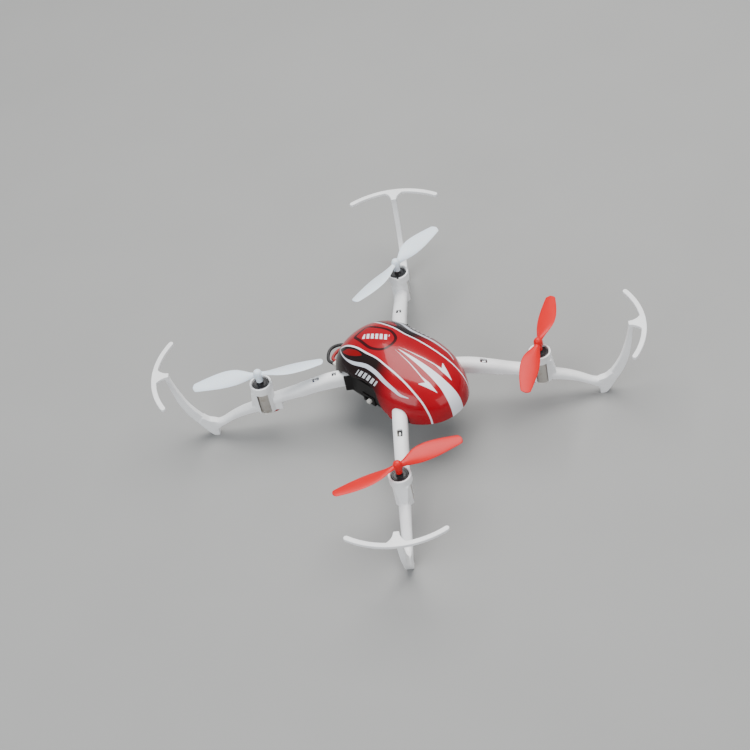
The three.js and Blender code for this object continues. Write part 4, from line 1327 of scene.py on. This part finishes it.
# %% Screws, turned with a driver slot
def screw_piece(name, node, head, shank, shank_end):
    """A pan head screw, upright or hanging, where the engineering screw stands."""
    low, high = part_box(node)
    x, y = (low.x + high.x) / 2 / MM, (low.y + high.y) / 2 / MM
    low_z, high_z = low.z / MM, high.z / MM
    hanging = shank_end == "low"
    face, tip = (high_z, low_z) if hanging else (low_z, high_z)
    sign = 1 if hanging else -1
    thick = 0.95
    dome = [(0, 0), (0.55 * head, -0.03), (0.9 * head, -0.25), (head, -0.55), (head, -thick), (shank, -thick)]
    outline = [(r, face + sign * z) for r, z in dome]
    z = face - sign * (thick + 0.3)
    while abs(z - tip) > 1.0:
        outline += [(shank, z), (shank * 1.22, z - sign * 0.14), (shank, z - sign * 0.28)]
        z -= sign * 0.42
    outline += [(shank, z), (0, tip)]
    rings = [ring + (x, y, 0) for ring in turned_body(outline, 28)]
    screw = piece_from(name, *skin(rings, caps=False), sharp=45)
    reach = 0.62 * head
    slots = [block((x - reach, x + reach), (y - 0.16, y + 0.16), (face - 0.4, face + 0.4)),
             block((x - 0.16, x + 0.16), (y - reach, y + reach), (face - 0.4, face + 0.4))]
    combined(screw, slots, "DIFFERENCE")
    smoothed(screw, 45)
    return dressed(screw, "screw_steel", node)


for name in ARM_NAMES:
    screw_piece("fixing_arm_" + name, "arm_screw_" + name, 1.4, 0.5, "low")
for name in CANOPY_SCREWS:
    screw_piece("fixing_canopy_" + name, "canopy_screw_" + name, 1.25, 0.5, "high")
for name in BOARD_SCREWS:
    screw_piece("fixing_board_" + name, "board_screw_" + name, 1.2, 0.4, "low")
print("9 screws")


# %% Battery, plug and switch knob
def box_of(node):
    low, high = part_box(node)
    return [(a / MM, b / MM) for a, b in zip(low, high)]


def pillow(x, z, corner, count=10):
    """A rectangle with round corners in the X-Z plane."""
    turn = np.linspace(0, np.pi / 2, count)
    points = []
    for k, (cx, cz) in enumerate([(x[1], z[1]), (x[0], z[1]), (x[0], z[0]), (x[1], z[0])]):
        inner = (cx - corner if k in (0, 3) else cx + corner, cz - corner if k < 2 else cz + corner)
        points += [(inner[0] + corner * math.cos(a), inner[1] + corner * math.sin(a))
                   for a in turn + k * np.pi / 2]
    return np.array(points)


def along_y(rings):
    """Rings of [x, z] outlines at each y."""
    return [np.stack([flat[:, 0], np.full(len(flat), y), flat[:, 1]], 1) for y, flat in rings]


x, y, z = box_of("battery")
inset = [(0.0, 1.1), (0.25, 0.5), (0.8, 0.15), (1.6, 0.0)]
ends = [(y[0] + a, b) for a, b in inset] + [(y[1] - a, b) for a, b in inset[::-1]]
middle = [(y[0] + 6, 0.0), (y[1] - 9, 0.0), (y[1] - 8.8, 0.12), (y[1] - 2.6, 0.12), (y[1] - 2.4, 0.0)]
stations = sorted(ends + middle)
pouch = joined("battery_pouch", [along_y([
    (at_y, pillow((x[0] + b, x[1] - b), (z[0] + b, z[1] - b), 1.3)) for at_y, b in stations])], sharp=50)
dressed(pouch, "battery_foil", "battery")

x, y, z = box_of("battery_plug")
plug = joined("pack_plug", [block(x, y, z)])
windows = [block((at, at + 0.5), (y[0] + 5.2, y[1] - 0.9), (z[1] - 0.4, z[1] + 1))
           for at in (x[0] + 0.5, x[0] + 1.75)]
combined(plug, windows, "DIFFERENCE")
applied(plug, ("BEVEL", {"width": 0.15 * MM, "segments": 3, "limit_method": "ANGLE"}))
smoothed(plug, 50)
dressed(plug, "white_nylon", "battery_plug")

x, y, z = box_of("switch_knob")
knob = joined("slide_knob", [block(x, y, z)])
grooves = [block((x[0] - 1, x[0] + 0.22), (at + 0.3, at + 0.5), (z[0] - 1, z[1] + 1))
           for at in y[0] + 0.4 * np.arange(3)]
combined(knob, grooves, "DIFFERENCE")
applied(knob, ("BEVEL", {"width": 0.06 * MM, "segments": 2, "limit_method": "ANGLE"}))
smoothed(knob, 50)
dressed(knob, "white_nylon", "switch_knob")
print("battery, plug and knob")

# %% [markdown]
# ## Studio
#
# The drone stands on a plain pale floor under plain soft light. Large area lights give the lacquer
# broad soft highlights with a clear edge, as windows do, and a pale sky fills the shadows.


# %% Floor, sky and lights
def floor_finish():
    made = Finish("pale_floor", Specular_IOR_Level=0.25)
    cloud = made.noise(60, 3)
    made.set("Base Color", made.mix(cloud, (0.33, 0.33, 0.325), (0.305, 0.305, 0.30)))
    made.set("Roughness", 0.65 + 0.1 * cloud)
    return made.material


floor = piece_from("floor", *skin(block((-2500, 2500), (-2500, 2500), (-20, -0.02))), sharp=30)
floor.data.materials.append(floor_finish())

world = bpy.data.worlds.new("sky")
world.use_nodes = True
world.node_tree.nodes["Background"].inputs["Color"].default_value = (0.88, 0.93, 1.0, 1)
world.node_tree.nodes["Background"].inputs["Strength"].default_value = 0.32
bpy.context.scene.world = world


def soft_light(name, place, size, power, colour=(1, 1, 1)):
    light = bpy.data.lights.new(name, "AREA")
    light.shape, light.size, light.size_y = "RECTANGLE", *size
    light.energy, light.color = power, colour
    lamp = bpy.data.objects.new(name, light)
    lamp.location = place
    lamp.rotation_euler = (-Vector(place)).to_track_quat("-Z", "Y").to_euler()
    bpy.context.collection.objects.link(lamp)


soft_light("key", (0.27, 0.12, 0.95), (0.95, 0.8), 17.5, (1.0, 0.99, 0.97))
soft_light("fill", (-0.9, -0.1, 0.55), (0.7, 0.6), 6.5, (0.94, 0.97, 1.0))
soft_light("front", (0.1, -0.95, 0.45), (0.7, 0.5), 2.6)
print("floor, sky and 3 lights")
